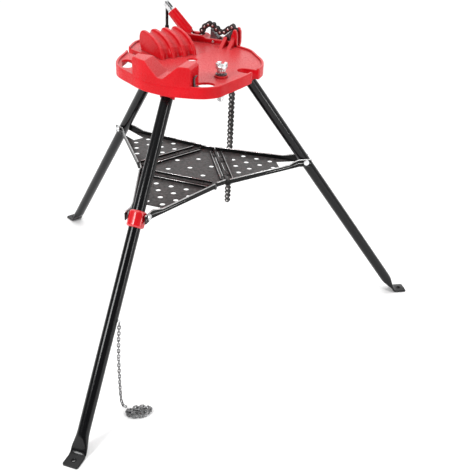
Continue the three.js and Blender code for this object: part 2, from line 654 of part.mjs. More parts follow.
for (const [side, station] of Object.entries(stations)) {
  piece(`leg_${side}`, legGeometry(), BLACK, station);
  piece(`hinge_pin_${side}`, hingePin(), ZINC, station);
  piece(`pivot_bush_${side}`, pivotBush(), ZINC, station);
  piece(`tray_wing_${side}`, trayWing(side), SHEET_GREY, station);
  const rodHalf = PANEL_HALF - 8;
  const hingeRod = crossRod(HINGE_ROD_R, HINGE_LINE, TRAY_Z + SHEET / 2, -rodHalf, rodHalf, 12);
  piece(`hinge_rod_${side}`, hingeRod, STEEL, station);
  piece(`fork_bolt_${side}`, forkStub(side, HEAD_SIDE[side], 5, 14), ZINC, station);
  piece(`fork_nut_${side}`, forkStub(side, -HEAD_SIDE[side], 8, 6), ZINC, station);
}

// Red barrel collar on the rear leg, with broad flutes.
function legCollar() {
  const { radius, end, half, sides, drop } = COLLAR;
  const shoulder = radius - 1.2;
  const profile = [
    [0, -half], [end, -half], [shoulder, -half / 2], [radius, 0],
    [shoulder, half / 2], [end, half], [0, half],
  ];
  const barrel = new THREE.LatheGeometry(profile.map(([r, y]) => new THREE.Vector2(r, y)), sides);
  const at = alongLeg(PIVOT_S + drop);
  barrel.rotateX(Math.PI / 2).rotateY(-LEG_TILT).translate(at.x, 0, at.z);
  const bore = rod(TUBE_R + 0.4, alongLeg(PIVOT_S - 60), alongLeg(PIVOT_S + 60), 16);
  return geometryOf(solid(barrel).subtract(solid(bore)));
}

piece('leg_collar', legCollar(), RED, stations.rear);

// Leg chain: an eye on the rear leg, a hanging run and the loose rest on the floor.
function chainEye() {
  const at = alongLeg(EYE_S);
  const ring = new THREE.TorusGeometry(3.5, 1.5, 6, 12);
  ring.rotateY(Math.PI / 2).translate(at.x, EYE_Y, at.z);
  const from = new THREE.Vector3(at.x, TUBE_R + 0.2, at.z);
  const to = new THREE.Vector3(at.x, EYE_Y - 3, at.z);
  return geometryOf(solid(ring).add(solid(rod(1.4, from, to, 8))));
}

piece('chain_eye', chainEye(), ZINC, stations.rear);

function chainRun() {
  const eye = alongLeg(EYE_S);
  const points = [
    [EYE_Y, -eye.x, eye.z - 6], [EYE_Y - 3, -eye.x - 2, 240], [EYE_Y - 5, -eye.x - 3, 170],
    [EYE_Y - 4, -eye.x - 4, 90], [EYE_Y - 2, -eye.x - 5, 30], [EYE_Y + 3, -eye.x - 5, 9],
    [HEAP.x - HEAP.rx - 0.6, HEAP.y, LINK_HALF + 1.5],
  ];
  const path = new THREE.CatmullRomCurve3(points.map((p) => new THREE.Vector3(...p)));
  const section = new THREE.Shape();
  section.absarc(0, 0, LINK_HALF, 0, 2 * Math.PI);
  const options = { steps: 18, extrudePath: path, bevelEnabled: false, curveSegments: 4 };
  return new THREE.ExtrudeGeometry(section, options);
}

piece('leg_chain_run', chainRun(), ZINC);

function chainHeap() {
  const { rx, ry, height } = HEAP;
  const profile = [
    [0, GAP], [0.93, GAP], [1, height * 0.35], [0.8, height * 0.8], [0.3, height], [0, height],
  ];
  const mound = new THREE.LatheGeometry(profile.map(([r, z]) => new THREE.Vector2(r, z)), 20);
  return mound.rotateX(Math.PI / 2).scale(rx, ry, 1).translate(HEAP.x, HEAP.y, 0);
}

piece('leg_chain_heap', chainHeap(), ZINC);

// The origin is on the floor, under the middle of the box round the whole stand.
const frontReach = FOOT_TIP * Math.sin(Math.PI / 6) + FOOT_HALF * Math.cos(Math.PI / 6);
root.position.y = (FOOT_TIP - frontReach) / 2;

export default root;
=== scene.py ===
"""Looks for a folding tripod stand with a chain pipe vise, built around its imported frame.

Sizes are in metres. What belongs to a leg or a wing is modelled in that leg's own radial plane, where x
runs outwards, y across and z up, and is then set at its station on the stand.
"""

from __future__ import annotations

import json
import logging
import math
from dataclasses import dataclass, replace
from enum import Enum
from typing import Any, Callable, Sequence

import bmesh
import bpy
from mathutils import Matrix, Vector


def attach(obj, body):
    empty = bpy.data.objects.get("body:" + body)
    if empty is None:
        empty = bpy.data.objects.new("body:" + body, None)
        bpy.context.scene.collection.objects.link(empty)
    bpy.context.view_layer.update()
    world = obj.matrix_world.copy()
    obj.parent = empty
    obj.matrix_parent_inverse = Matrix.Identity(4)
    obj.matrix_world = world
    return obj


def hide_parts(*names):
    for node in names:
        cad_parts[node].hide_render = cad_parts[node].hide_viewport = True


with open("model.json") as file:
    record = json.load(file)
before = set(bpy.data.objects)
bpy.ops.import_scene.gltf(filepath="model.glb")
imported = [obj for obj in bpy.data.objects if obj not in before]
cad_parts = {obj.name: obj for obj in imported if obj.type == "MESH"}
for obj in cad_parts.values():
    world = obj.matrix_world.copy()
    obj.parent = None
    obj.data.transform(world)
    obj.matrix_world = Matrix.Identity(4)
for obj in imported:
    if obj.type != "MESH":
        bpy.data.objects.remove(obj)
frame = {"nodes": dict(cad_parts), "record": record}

log = logging.getLogger("stand")
logging.basicConfig(level=logging.INFO, format="%(name)s: %(message)s")

MM = 0.001
# Two places closer than this are one.
TINY = 0.01 * MM
# The tripod's middle lies this far from the frame's origin, along y.
SHIFT = 0.18754

Obj = bpy.types.Object
Pair = tuple[float, float]
Point = tuple[float, float, float]
Colour = tuple[float, float, float]


def moved(*at: float) -> Matrix:
    """The matrix of a move."""
    return Matrix.Translation(at)


def turned(degrees: float, axis: str) -> Matrix:
    """The matrix of a turn about an axis."""
    return Matrix.Rotation(math.radians(degrees), 4, axis)


def length(points: Sequence[Vector]) -> float:
    """The length of a line of points."""
    return sum((end - start).length for start, end in zip(points, points[1:]))


def walk(points: Sequence[Vector], far: float) -> Vector:
    """Follow a line of points.

    Args:
        points: the line.
        far: how far to go along it.

    Returns:
        The place reached, or the line's end.
    """
    for start, end in zip(points, points[1:]):
        span = (end - start).length
        if far <= span:
            return start.lerp(end, far / span)
        far -= span
    return points[-1].copy()


class Body(str, Enum):
    """The rigid bodies that pieces ride on."""

    HEAD = "head"
    REAR_LEG = "rear_leg"
    RIGHT_LEG = "right_leg"
    LEFT_LEG = "left_leg"
    TRAY = "tray"
    REAR_WING = "rear_wing"
    RIGHT_WING = "right_wing"
    LEFT_WING = "left_wing"
    SWIVEL = "swivel"
    SCREW = "screw"
    HANDLE = "handle"
    CHAIN_TAIL = "chain_tail"
    BRACE_RING = "brace_ring"
    BRACE_SCREW = "brace_screw"


class Slot(str, Enum):
    """The record's material slots."""

    RED_CAST = "red_cast"
    BLACK_TUBE = "black_tube"
    TRAY_SHEET = "tray_sheet"
    DARK_STEEL = "dark_steel"
    BRIGHT_ZINC = "bright_zinc"


class Side(Enum):
    """The three legs, each with its bearing in degrees."""

    REAR = -90.0
    RIGHT = 30.0
    LEFT = 150.0

    @property
    def word(self) -> str:
        """The side's name as the nodes spell it."""
        return self.name.lower()

    @property
    def leg(self) -> Body:
        """The body of this side's leg."""
        return Body[f"{self.name}_LEG"]

    @property
    def wing(self) -> Body:
        """The body of this side's wing of the tray."""
        return Body[f"{self.name}_WING"]

    @property
    def station(self) -> Matrix:
        """From the leg's own radial plane to the stand."""
        return moved(0.0, SHIFT, 0.0) @ turned(self.value, "Z")


class Sock:
    """A shader socket that takes part in arithmetic."""

    def __init__(self, socket: bpy.types.NodeSocket) -> None:
        """Keep the socket."""
        self.socket = socket

    @staticmethod
    def feed(entry: bpy.types.NodeSocket, value: Any) -> None:
        """Link or set one socket.

        Args:
            entry: the socket.
            value: a Sock, a number or a colour.
        """
        if isinstance(value, Sock):
            entry.id_data.links.new(value.socket, entry)
        else:
            entry.default_value = (*value, 1.0) if entry.type == "RGBA" else value

    def _math(self, operation: str, first: Any, second: Any) -> Sock:
        """Add one Math node.

        Args:
            operation: the Math node's operation.
            first: a number or a Sock.
            second: a number or a Sock.

        Returns:
            The node's value.
        """
        node = self.socket.id_data.nodes.new("ShaderNodeMath")
        node.operation = operation
        for entry, value in zip(node.inputs, (first, second)):
            self.feed(entry, value)
        return Sock(node.outputs[0])

    def __add__(self, other: Any) -> Sock:
        """Sum."""
        return self._math("ADD", self, other)

    def __radd__(self, other: Any) -> Sock:
        """Sum, reflected."""
        return self._math("ADD", other, self)

    def __sub__(self, other: Any) -> Sock:
        """Difference."""
        return self._math("SUBTRACT", self, other)

    def __rsub__(self, other: Any) -> Sock:
        """Difference, reflected."""
        return self._math("SUBTRACT", other, self)

    def __mul__(self, other: Any) -> Sock:
        """Product."""
        return self._math("MULTIPLY", self, other)

    def __rmul__(self, other: Any) -> Sock:
        """Product, reflected."""
        return self._math("MULTIPLY", other, self)

    def at_least(self, other: Any) -> Sock:
        """The larger of this value and another."""
        return self._math("MAXIMUM", self, other)


class Nodes:
    """A node tree under construction."""

    def __init__(self, tree: bpy.types.NodeTree) -> None:
        """Start from an empty tree."""
        self.tree = tree
        self.tree.nodes.clear()

    def node(self, kind: str, out: str = "", data_type: str = "", **inputs: Any) -> Sock | None:
        """Add any node.

        Args:
            kind: the node's type.
            out: the name of the output to hand back, if not the first.
            data_type: what a node of several kinds works on.
            **inputs: values or links of its sockets, with _ for a space in a name.

        Returns:
            The chosen output, if the node has one.
        """
        made = self.tree.nodes.new(kind)
        if data_type:
            made.data_type = data_type
        for key, value in inputs.items():
            name = key.replace("_", " ")
            Sock.feed(next(s for s in made.inputs if s.enabled and s.name == name), value)
        found = [s for s in made.outputs if s.enabled and out in ("", s.name)]
        return Sock(found[0]) if found else None

    def axis(self, vector: Sock, letter: str) -> Sock:
        """One part of a vector."""
        return self.node("ShaderNodeSeparateXYZ", out=letter, Vector=vector)

    def band(self, value: Sock, low: float, high: float) -> Sock:
        """Make a mask.

        Args:
            value: what the mask follows.
            low: the value up to which it is black.
            high: the value from which it is white.

        Returns:
            The mask.
        """
        mask = self.node("ShaderNodeValToRGB", Fac=value)
        for stop, at in zip(mask.socket.node.color_ramp.elements, (low, high)):
            stop.position = at
        return mask

    def mix(self, mask: Sock, first: Any, second: Any) -> Sock:
        """One colour into another by a mask."""
        return self.node("ShaderNodeMix", data_type="RGBA", Factor=mask, A=first, B=second)


class Paint(Nodes):
    """One node material under construction."""

    def __init__(self, name: str) -> None:
        """Start an empty material.

        Args:
            name: the material's name.
        """
        self.material = bpy.data.materials.new(name)
        self.material.use_nodes = True
        super().__init__(self.material.node_tree)
        self.place = self.node("ShaderNodeTexCoord", out="Object")

    def noise(self, scale: float, detail: float = 4.0, rough: float = 0.55) -> Sock:
        """Cloudy grain in the piece's own place."""
        return self.node(
            "ShaderNodeTexNoise", Vector=self.place, Scale=scale, Detail=detail, Roughness=rough
        )

    def upward(self, low: float, high: float) -> Sock:
        """A mask of the faces that look up."""
        return self.band(self.axis(self.node("ShaderNodeTexCoord", out="Normal"), "Z"), low, high)

    def relief(self, height: Sock, depth: float, strength: float) -> Sock:
        """A relief, with its depth in metres, for the shader's normal."""
        return self.node("ShaderNodeBump", Height=height, Distance=depth, Strength=strength)

    def finish(self, **inputs: Any) -> bpy.types.Material:
        """Close the material with one Principled shader.

        Args:
            **inputs: values or links of the shader's sockets.

        Returns:
            The material.
        """
        skin = self.node("ShaderNodeBsdfPrincipled", **inputs)
        self.node("ShaderNodeOutputMaterial", Surface=skin)
        return self.material


@dataclass(frozen=True)
class Enamel:
    """Glossy enamel over a casting: darker in pits, with painted shade in hollows, painted highlights on
    crests and a painted sheen where it looks up.
    """

    name: str
    bright: Colour
    deep: Colour
    # The paler tint of the painted highlights on crests and of the painted sheen on upward faces.
    pale: Colour = (0.62, 0.075, 0.08)
    # How far the deep colour is dimmed for the painted shade in hollows; the pits are darkened with it too.
    shadow: float = 0.30
    hollow: Pair = (0.42, 0.492)
    crest: Pair = (0.512, 0.58)
    upper: Pair = (0.5, 0.98)
    grain: float = 420.0
    pitting: float = 150.0
    pit_band: Pair = (0.66, 0.74)
    clouds: float = 11.0
    cloud_band: Pair = (0.35, 0.7)
    relief: float = 0.00035
    polish: float = 0.20
    sheen: float = 0.13

    def dress(self) -> bpy.types.Material:
        """Build the material.

        Returns:
            The enamel.
        """
        paint = Paint(self.name)
        sand = paint.noise(self.grain, detail=5.0, rough=0.6)
        pits = paint.band(paint.noise(self.pitting, detail=2.0), *self.pit_band)
        bend = paint.node("ShaderNodeNewGeometry", out="Pointiness")
        # The darker colour of the painted shade in hollows, also used in the pits.
        dark = tuple(part * self.shadow for part in self.deep)
        cloud = paint.band(paint.noise(self.clouds, detail=3.0), *self.cloud_band)
        body = paint.mix(cloud, self.deep, self.bright)
        # Painted sheen: faces that look up are tinted paler, more where the grain is high.
        body = paint.mix(paint.upward(*self.upper) * (0.2 + sand * 0.6), body, self.pale)
        # Painted shade: where Pointiness is low, in hollows and creases, the enamel is darkened.
        body = paint.mix((1 - paint.band(bend, *self.hollow)) * 0.9, body, dark)
        # Painted highlight: where Pointiness is high, on crests and edges, the enamel is paler.
        body = paint.mix(paint.band(bend, *self.crest) * 0.4, body, self.pale)
        return paint.finish(
            Base_Color=paint.mix(pits * 0.3, body, dark),
            Roughness=self.polish + sand * 0.16 + pits * 0.1,
            Specular_IOR_Level=self.sheen,
            Normal=paint.relief(sand - pits * 0.5, self.relief, strength=0.55),
        )


@dataclass(frozen=True)
class PowderCoat:
    """Black powder coat with orange peel, a few paler rubs and, on a tray, dust with a painted sheen where
    it looks up.
    """

    name: str
    base: Colour
    rub: Colour
    gloss: float
    peel: float = 260.0
    smears: float = 6.0
    smear_band: Pair = (0.5, 0.66)
    rubbing: float = 38.0
    rub_band: Pair = (0.6, 0.72)
    depth: float = 0.00022
    sheen: float = 0.25
    dust: Colour | None = None
    upper: Pair = (0.6, 0.95)
    mottling: float = 95.0
    mottle_band: Pair = (0.34, 0.70)

    def dress(self) -> bpy.types.Material:
        """Build the material.

        Returns:
            The coat.
        """
        paint = Paint(self.name)
        smear = paint.noise(self.smears, detail=5.0, rough=0.65)
        rubs = paint.band(paint.noise(self.rubbing, detail=8.0, rough=0.7), *self.rub_band)
        worn = rubs * paint.band(smear, *self.smear_band)
        ground: Any = self.base
        if self.dust:
            speckle = paint.noise(self.mottling, detail=6.0, rough=0.75)
            mottle = paint.band(speckle, *self.mottle_band)
            # Upward faces are mixed, mottled, towards a paler grey: partly dust, partly a painted sheen.
            ground = paint.mix(paint.upward(*self.upper) * (0.12 + mottle * 0.8), self.base, self.dust)
        return paint.finish(
            Base_Color=paint.mix(worn * 0.7, ground, self.rub),
            Roughness=self.gloss + smear * 0.10 + worn * 0.14,
            Specular_IOR_Level=self.sheen,
            Normal=paint.relief(paint.noise(self.peel, detail=3.0, rough=0.5), self.depth, strength=0.4),
        )


@dataclass(frozen=True)
class BareMetal:
    """Plated or oiled steel with a fine grain and tarnish."""

    name: str
    base: Colour
    dull: Colour
    gloss: float
    tarnish: float
    grain: float = 900.0
    stains: float = 70.0
    stain_band: Pair = (0.42, 0.7)
    depth: float = 0.00008

    def dress(self) -> bpy.types.Material:
        """Build the material.

        Returns:
            The metal.
        """
        paint = Paint(self.name)
        grain = paint.noise(self.grain, detail=3.0, rough=0.6)
        stain = paint.band(paint.noise(self.stains, detail=6.0, rough=0.65), *self.stain_band)
        return paint.finish(
            Base_Color=paint.mix(stain * self.tarnish, self.base, self.dull),
            Metallic=1.0 - stain * (0.25 * self.tarnish),
            Roughness=self.gloss + grain * 0.12 + stain * 0.14,
            Normal=paint.relief(grain, self.depth, strength=0.35),
        )


@dataclass(frozen=True)
class Matte:
    """A plain pale ground with the faintest mottle."""

    name: str
    tone: float
    clouds: float = 3.0
    dim: float = 0.97
    rough: float = 0.8

    def dress(self) -> bpy.types.Material:
        """Build the material.

        Returns:
            The ground.
        """
        paint = Paint(self.name)
        pale = (self.tone,) * 3
        dimmer = tuple(part * self.dim for part in pale)
        cloud = paint.noise(self.clouds, detail=2.0)
        return paint.finish(Base_Color=paint.mix(cloud * 0.2, pale, dimmer), Roughness=self.rough)


RED_ENAMEL = Enamel("red_enamel", (0.56, 0.004, 0.010), (0.46, 0.003, 0.007))

FINISHES: dict[Slot, Enamel | PowderCoat | BareMetal] = {
    Slot.RED_CAST: RED_ENAMEL,
    Slot.BLACK_TUBE: PowderCoat("black_powder_coat", (0.004, 0.004, 0.0045), (0.03, 0.03, 0.032), 0.12),
    Slot.TRAY_SHEET: PowderCoat(
        "tray_powder_coat", (0.006, 0.006, 0.006), (0.08, 0.077, 0.075), 0.24, peel=420.0, sheen=0.12,
        # Dust with a painted sheen on the tray's upward faces.
        dust=(0.115, 0.110, 0.109),
    ),
    Slot.DARK_STEEL: BareMetal("oiled_steel", (0.16, 0.16, 0.165), (0.035, 0.032, 0.03), 0.26, 0.85),
    Slot.BRIGHT_ZINC: BareMetal("zinc_plate", (0.70, 0.71, 0.72), (0.36, 0.36, 0.35), 0.20, 0.5),
}


class Bench:
    """Modelling moves on one mesh object at a time, as they are made by hand."""

    # Corners of a frame node this near are one corner, and faces this level in degrees are one face.
    MERGE = 0.02 * MM
    LEVEL = 0.6

    @staticmethod
    def take(*objs: Obj) -> None:
        """Select objects.

        Args:
            *objs: the objects to select alone, the first one active.
        """
        bpy.ops.object.select_all(action="DESELECT")
        for obj in objs:
            obj.select_set(True)
        bpy.context.view_layer.objects.active = objs[0]

    @staticmethod
    def link(name: str, data: bpy.types.ID) -> Obj:
        """Put a mesh, lamp or camera into the scene as a new object."""
        made = bpy.data.objects.new(name, data)
        bpy.context.scene.collection.objects.link(made)
        return made

    @classmethod
    def add(cls, name: str, kind: str, at: Sequence[float] = (0.0, 0.0, 0.0), **sizes: Any) -> Obj:
        """Add a primitive with its place in its mesh.

        Args:
            name: the new object's name.
            kind: the primitive's kind, as its operator spells it.
            at: its place.
            **sizes: the operator's own sizes.

        Returns:
            The new object.
        """
        getattr(bpy.ops.mesh, f"primitive_{kind}_add")(location=at, **sizes)
        bpy.ops.object.transform_apply(location=True, rotation=True, scale=True)
        made = bpy.context.active_object
        made.name = name
        return made

    @classmethod
    def disc(cls, name: str, radius: float, sides: int) -> Obj:
        """Add a filled circle on the xy plane."""
        return cls.add(name, "circle", vertices=sides, radius=radius, fill_type="NGON")

    @classmethod
    def cylinder(
        cls, name: str, radius: float, depth: float, sides: int, at: Sequence[float] = (0.0, 0.0, 0.0)
    ) -> Obj:
        """Add a cylinder along z."""
        return cls.add(name, "cylinder", at, vertices=sides, radius=radius, depth=depth)

    @classmethod
    def ring(cls, name: str, radius: float, wire: float, turns: int, sides: int) -> Obj:
        """Add a ring on the xy plane."""
        sizes = {"major_radius": radius, "minor_radius": wire}
        return cls.add(name, "torus", **sizes, major_segments=turns, minor_segments=sides)

    @classmethod
    def edit(cls, obj: Obj) -> None:
        """Open one object for editing."""
        cls.take(obj)
        bpy.ops.object.mode_set(mode="EDIT")

    @staticmethod
    def close(obj: Obj) -> Obj:
        """End editing of an object and hand it back."""
        bpy.ops.object.mode_set(mode="OBJECT")
        return obj

    @classmethod
    def seal(cls, obj: Obj) -> Obj:
        """End editing with every face turned outwards."""
        bpy.ops.mesh.select_all(action="SELECT")
        bpy.ops.mesh.normals_make_consistent(inside=False)
        return cls.close(obj)

    @staticmethod
    def choose(obj: Obj, kind: str, test: Callable[[Any], bool]) -> None:
        """Select faces or edges.

        Args:
            obj: the object in edit mode.
            kind: "faces" or "edges".
            test: what a face or an edge has to pass.
        """
        for item in getattr(bmesh.from_edit_mesh(obj.data), kind):
            item.select_set(test(item))
        bmesh.update_edit_mesh(obj.data)

    @staticmethod
    def shift(obj: Obj, matrix: Matrix, test: Callable[[Vector], bool] | None = None) -> None:
        """Move the vertices that are selected.

        Args:
            obj: the object in edit mode.
            matrix: the move.
            test: what a vertex's place has to pass to be selected first.
        """
        mesh = bmesh.from_edit_mesh(obj.data)
        if test:
            for part in (mesh.verts, mesh.edges, mesh.faces):
                for item in part:
                    item.select_set(False)
            for vert in mesh.verts:
                vert.select_set(test(vert.co))
            mesh.select_flush(True)
        bmesh.ops.transform(mesh, matrix=matrix, verts=[v for v in mesh.verts if v.select])
        bmesh.update_edit_mesh(obj.data)

    @staticmethod
    def reshape(obj: Obj, place: Callable[[Vector], Vector]) -> None:
        """Send every vertex of an object in edit mode to a new place."""
        for vert in bmesh.from_edit_mesh(obj.data).verts:
            vert.co = place(vert.co)
        bmesh.update_edit_mesh(obj.data)

    @staticmethod
    def rise(height: float, grow: float = 1.0) -> None:
        """Extrude what is selected along z, then widen or narrow it."""
        bpy.ops.mesh.extrude_region_move(TRANSFORM_OT_translate={"value": (0.0, 0.0, height)})
        bpy.ops.transform.resize(value=(grow, grow, 1.0))

    @classmethod
    def modify(cls, obj: Obj, kind: str, **settings: Any) -> Obj:
        """Add one modifier and apply it.

        Args:
            obj: the object to finish.
            kind: the modifier's type.
            **settings: its attributes.

        Returns:
            The same object.
        """
        cls.take(obj)
        bpy.ops.object.modifier_add(type=kind)
        made = obj.modifiers[-1]
        for key, value in settings.items():
            setattr(made, key, value)
        bpy.ops.object.modifier_apply(modifier=made.name)
        return obj

    @classmethod
    def soften(cls, obj: Obj, width: float, steps: int = 2, angle: float = 42.0) -> Obj:
        """Round the sharp edges a little."""
        return cls.modify(
            obj, "BEVEL", width=width, segments=steps, limit_method="ANGLE",
            angle_limit=math.radians(angle), use_clamp_overlap=True,
        )

    @classmethod
    def smooth(cls, obj: Obj, angle: float = 40.0) -> Obj:
        """Shade smooth but for edges sharper than an angle in degrees."""
        cls.take(obj)
        bpy.ops.object.shade_smooth_by_angle(angle=math.radians(angle))
        return obj

    @classmethod
    def cut(cls, obj: Obj, tool: Obj) -> None:
        """Cut a tool's shape out of an object and drop the tool."""
        cls.modify(obj, "BOOLEAN", operation="DIFFERENCE", object=tool, solver="EXACT")
        bpy.data.objects.remove(tool)

    @classmethod
    def join(cls, objs: Sequence[Obj], name: str) -> Obj:
        """Make several objects one.

        Args:
            objs: the objects.
            name: the name of the one they become.

        Returns:
            The joined object.
        """
        cls.take(*objs)
        bpy.ops.object.join()
        objs[0].name = name
        return objs[0]

    @staticmethod
    def put(obj: Obj, matrix: Matrix) -> Obj:
        """Move an object's mesh by a matrix and hand the object back."""
        obj.data.transform(matrix)
        return obj

    @classmethod
    def again(cls, obj: Obj, matrix: Matrix, name: str = "copy") -> Obj:
        """A copy with its own mesh, moved by a matrix."""
        return cls.put(cls.link(name, obj.data.copy()), matrix)

    @classmethod
    def cast_of(cls, node: str, name: str) -> Obj:
        """Copy a frame node's shape and merge its loose triangles.

        Args:
            node: the frame node.
            name: the copy's name.

        Returns:
            The copy.
        """
        mesh = frame["nodes"][node].data.copy()
        mesh.materials.clear()
        made = cls.link(name, mesh)
        cls.edit(made)
        bpy.ops.mesh.select_all(action="SELECT")
        bpy.ops.mesh.remove_doubles(threshold=cls.MERGE)
        bpy.ops.mesh.dissolve_limited(angle_limit=math.radians(cls.LEVEL))
        return cls.close(made)

    @classmethod
    def rail(cls, name: str, points: Sequence[Vector], radius: float, sides: int = 10) -> Obj:
        """Draw a round bar out along a line, its ends rounded.

        Args:
            name: the bar's name.
            points: the line that its middle follows.
            radius: the bar's radius.
            sides: how many sides its section has.

        Returns:
            The bar.
        """
        ways = [(b - a).normalized() for a, b in zip(points, points[1:])]
        aims = [ways[0], *((a + b).normalized() for a, b in zip(ways, ways[1:])), ways[-1]]
        places = [
            moved(*at) @ aim.to_track_quat("Z", "Y").to_matrix().to_4x4() for at, aim in zip(points, aims)
        ]
        bar = cls.put(cls.disc(name, radius, sides), places[0])
        cls.edit(bar)
        for before, after in zip(places, places[1:]):
            bpy.ops.mesh.extrude_region()
            cls.shift(bar, after @ before.inverted())
        return cls.soften(cls.seal(bar), radius / 2, angle=60.0)


class Trim:
    """Finishes each piece: its material, chosen by slot unless it has its own, its body, and the frame nodes
    it stands for, which it hides.
    """

    def __init__(self) -> None:
        """Dress every slot's finish once."""
        self.materials = {slot: finish.dress() for slot, finish in FINISHES.items()}

    def fit(self, obj: Obj, body: Body, slot: Slot, *nodes: str, finish: Any = None) -> None:
        """Give a piece its finish and its place in the stand.

        Args:
            obj: the finished piece.
            body: the rigid body that it rides on.
            slot: the record's material slot.
            *nodes: the frame nodes that it stands for.
            finish: a finish of its own, where the slot's is too general.
        """
        obj.data.materials.clear()
        obj.data.materials.append(finish.dress() if finish else self.materials[slot])
        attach(obj, body.value)
        if nodes:
            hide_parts(*nodes)
        log.info("%s: %d faces on %s", obj.name, len(obj.data.polygons), body.value)

    def coat(self) -> None:
        """Give every frame node its slot's material."""
        for row in frame["record"]["subparts"]:
            node = frame["nodes"][row["node"]]
            node.data.materials.clear()
            node.data.materials.append(self.materials[Slot(row["material_slot"])])


@dataclass(frozen=True)
class Lamp:
    """A soft rectangular lamp that faces the stand."""

    name: str
    at: Point
    size: Pair
    power: float
    aim: Point = (0.0, 0.1, 0.5)

    def hang(self) -> None:
        """Add the lamp to the scene."""
        data = bpy.data.lights.new(self.name, "AREA")
        data.shape = "RECTANGLE"
        data.size, data.size_y = self.size
        data.energy = self.power
        made = Bench.link(self.name, data)
        made.location = self.at
        toward = Vector(self.aim) - Vector(self.at)
        made.rotation_euler = toward.to_track_quat("-Z", "Y").to_euler()


@dataclass
class Studio:
    """Camera, floor and soft light."""

    eye: Point = (0.7868, -1.7567, 1.4750)
    azimuth: float = 17.92
    elevation: float = 29.68
    roll: float = 2.90
    focal: float = 738.37
    picture: float = 470.0
    sensor: float = 36.0
    clip: float = 50.0
    wall: float = 0.40
    ceiling: float = 1.60
    behind: float = 1.05
    least: float = 0.03
    floor_size: float = 40.0
    floor_tone: float = 0.92
    lamps: tuple[Lamp, ...] = (
        Lamp("front_left", (-1.3, -3.0, 2.3), (1.3, 1.4), 120.0),
        Lamp("right_strip", (3.4, -0.6, 1.7), (0.3, 2.6), 50.0),
    )

    def camera(self) -> None:
        """Set the camera at the photograph's viewing angle."""
        data = bpy.data.cameras.new("camera")
        data.sensor_width = self.sensor
        data.lens = self.focal / self.picture * self.sensor
        data.clip_end = self.clip
        made = Bench.link("camera", data)
        aim = turned(self.azimuth, "Z") @ turned(90.0 - self.elevation, "X") @ turned(self.roll, "Z")
        made.matrix_world = moved(*self.eye) @ aim
        bpy.context.scene.camera = made

    def sky(self) -> bpy.types.World:
        """Make a white room, brighter overhead and behind the stand than in front of it.

        Returns:
            The world, which the camera itself sees as an even white.
        """
        world = bpy.data.worlds.new("room")
        world.use_nodes = True
        room = Nodes(world.node_tree)
        way = room.node("ShaderNodeTexCoord", out="Generated")
        height = room.axis(way, "Z").at_least(0.0)
        glow = self.wall + self.ceiling * height * height * height + self.behind * room.axis(way, "Y")
        seen = room.node("ShaderNodeLightPath", out="Is Camera Ray")
        shade = glow.at_least(self.least).at_least(seen)
        white = room.node("ShaderNodeBackground", Color=(1.0, 1.0, 1.0), Strength=shade)
        room.node("ShaderNodeOutputWorld", Surface=white)
        return world

    def room(self) -> None:
        """Lay the floor and light the room."""
        floor = Bench.add("floor", "plane", size=self.floor_size)
        floor.data.materials.append(Matte("pale_floor", self.floor_tone).dress())
        scene = bpy.context.scene
        scene.world = self.sky()
        scene.view_settings.view_transform = "Standard"
        for lamp in self.lamps:
            lamp.hang()


@dataclass
class Assembly:
    """A sub-assembly of the stand, with what finishes its pieces."""

    trim: Trim

    def build(self) -> None:
        """Make the pieces and fit them."""
        raise NotImplementedError


@dataclass
class CastHead(Assembly):
    """The one-piece casting: table with sockets, pipe rest, bender and vise pedestal."""

    nodes: tuple[str, ...] = ("vise_base", "pipe_rest", "pipe_bender", "vise_pedestal")
    voxel: float = 0.0019
    passes: int = 3
    ease: float = 0.5
    keep: float = 0.42
    arm_start: Point = (-0.078, 0.250 + SHIFT, 0.828)
    arm_tilt: float = 46.0
    arm_foot: float = 0.012
    arm_end: float = 0.134
    arm_radii: Pair = (0.017, 0.0135)
    rib_thick: float = 0.0075
    rib_proud: float = 0.0032
    rib_sunk: float = 0.003
    rib_starts: Pair = (0.052, 0.026)

    def arm_rib(self, way: float, start: float) -> Obj:
        """Make one rib along the screw arm.

        Args:
            way: 1 for the rib on top of the arm, -1 for the one below.
            start: how far up the arm it starts.

        Returns:
            The rib, tapered with the arm and sunk into it.
        """
        wide, narrow = self.arm_radii
        run = self.arm_end - start
        size = (2 * self.rib_sunk + self.rib_proud, self.rib_thick, run)
        rib = Bench.add("rib", "cube", (0.0, 0.0, start + run / 2), size=1.0, scale=size)
        Bench.edit(rib)
        for end in (start, self.arm_end):
            share = (end - self.arm_foot) / (self.arm_end - self.arm_foot)
            middle = wide + (narrow - wide) * share - self.rib_sunk + self.rib_proud / 2
            Bench.shift(rib, moved(way * middle, 0.0, 0.0), lambda co: abs(co.z - end) < TINY)
        Bench.close(rib)
        return Bench.put(rib, moved(*self.arm_start) @ turned(self.arm_tilt - 90.0, "Y"))

    def build(self) -> None:
        """Fuse the castings and round their edges as a sand mould leaves them."""
        parts = [Bench.cast_of(node, f"{node}_shape") for node in self.nodes]
        parts += [self.arm_rib(way, start) for way, start in zip((1.0, -1.0), self.rib_starts)]
        head = Bench.join(parts, "cast_head")
        head.data.remesh_voxel_size = self.voxel
        bpy.ops.object.voxel_remesh()
        Bench.modify(head, "SMOOTH", factor=self.ease, iterations=self.passes)
        Bench.modify(head, "DECIMATE", ratio=self.keep)
        bpy.ops.object.shade_smooth()
        self.trim.fit(head, Body.HEAD, Slot.RED_CAST, *self.nodes)


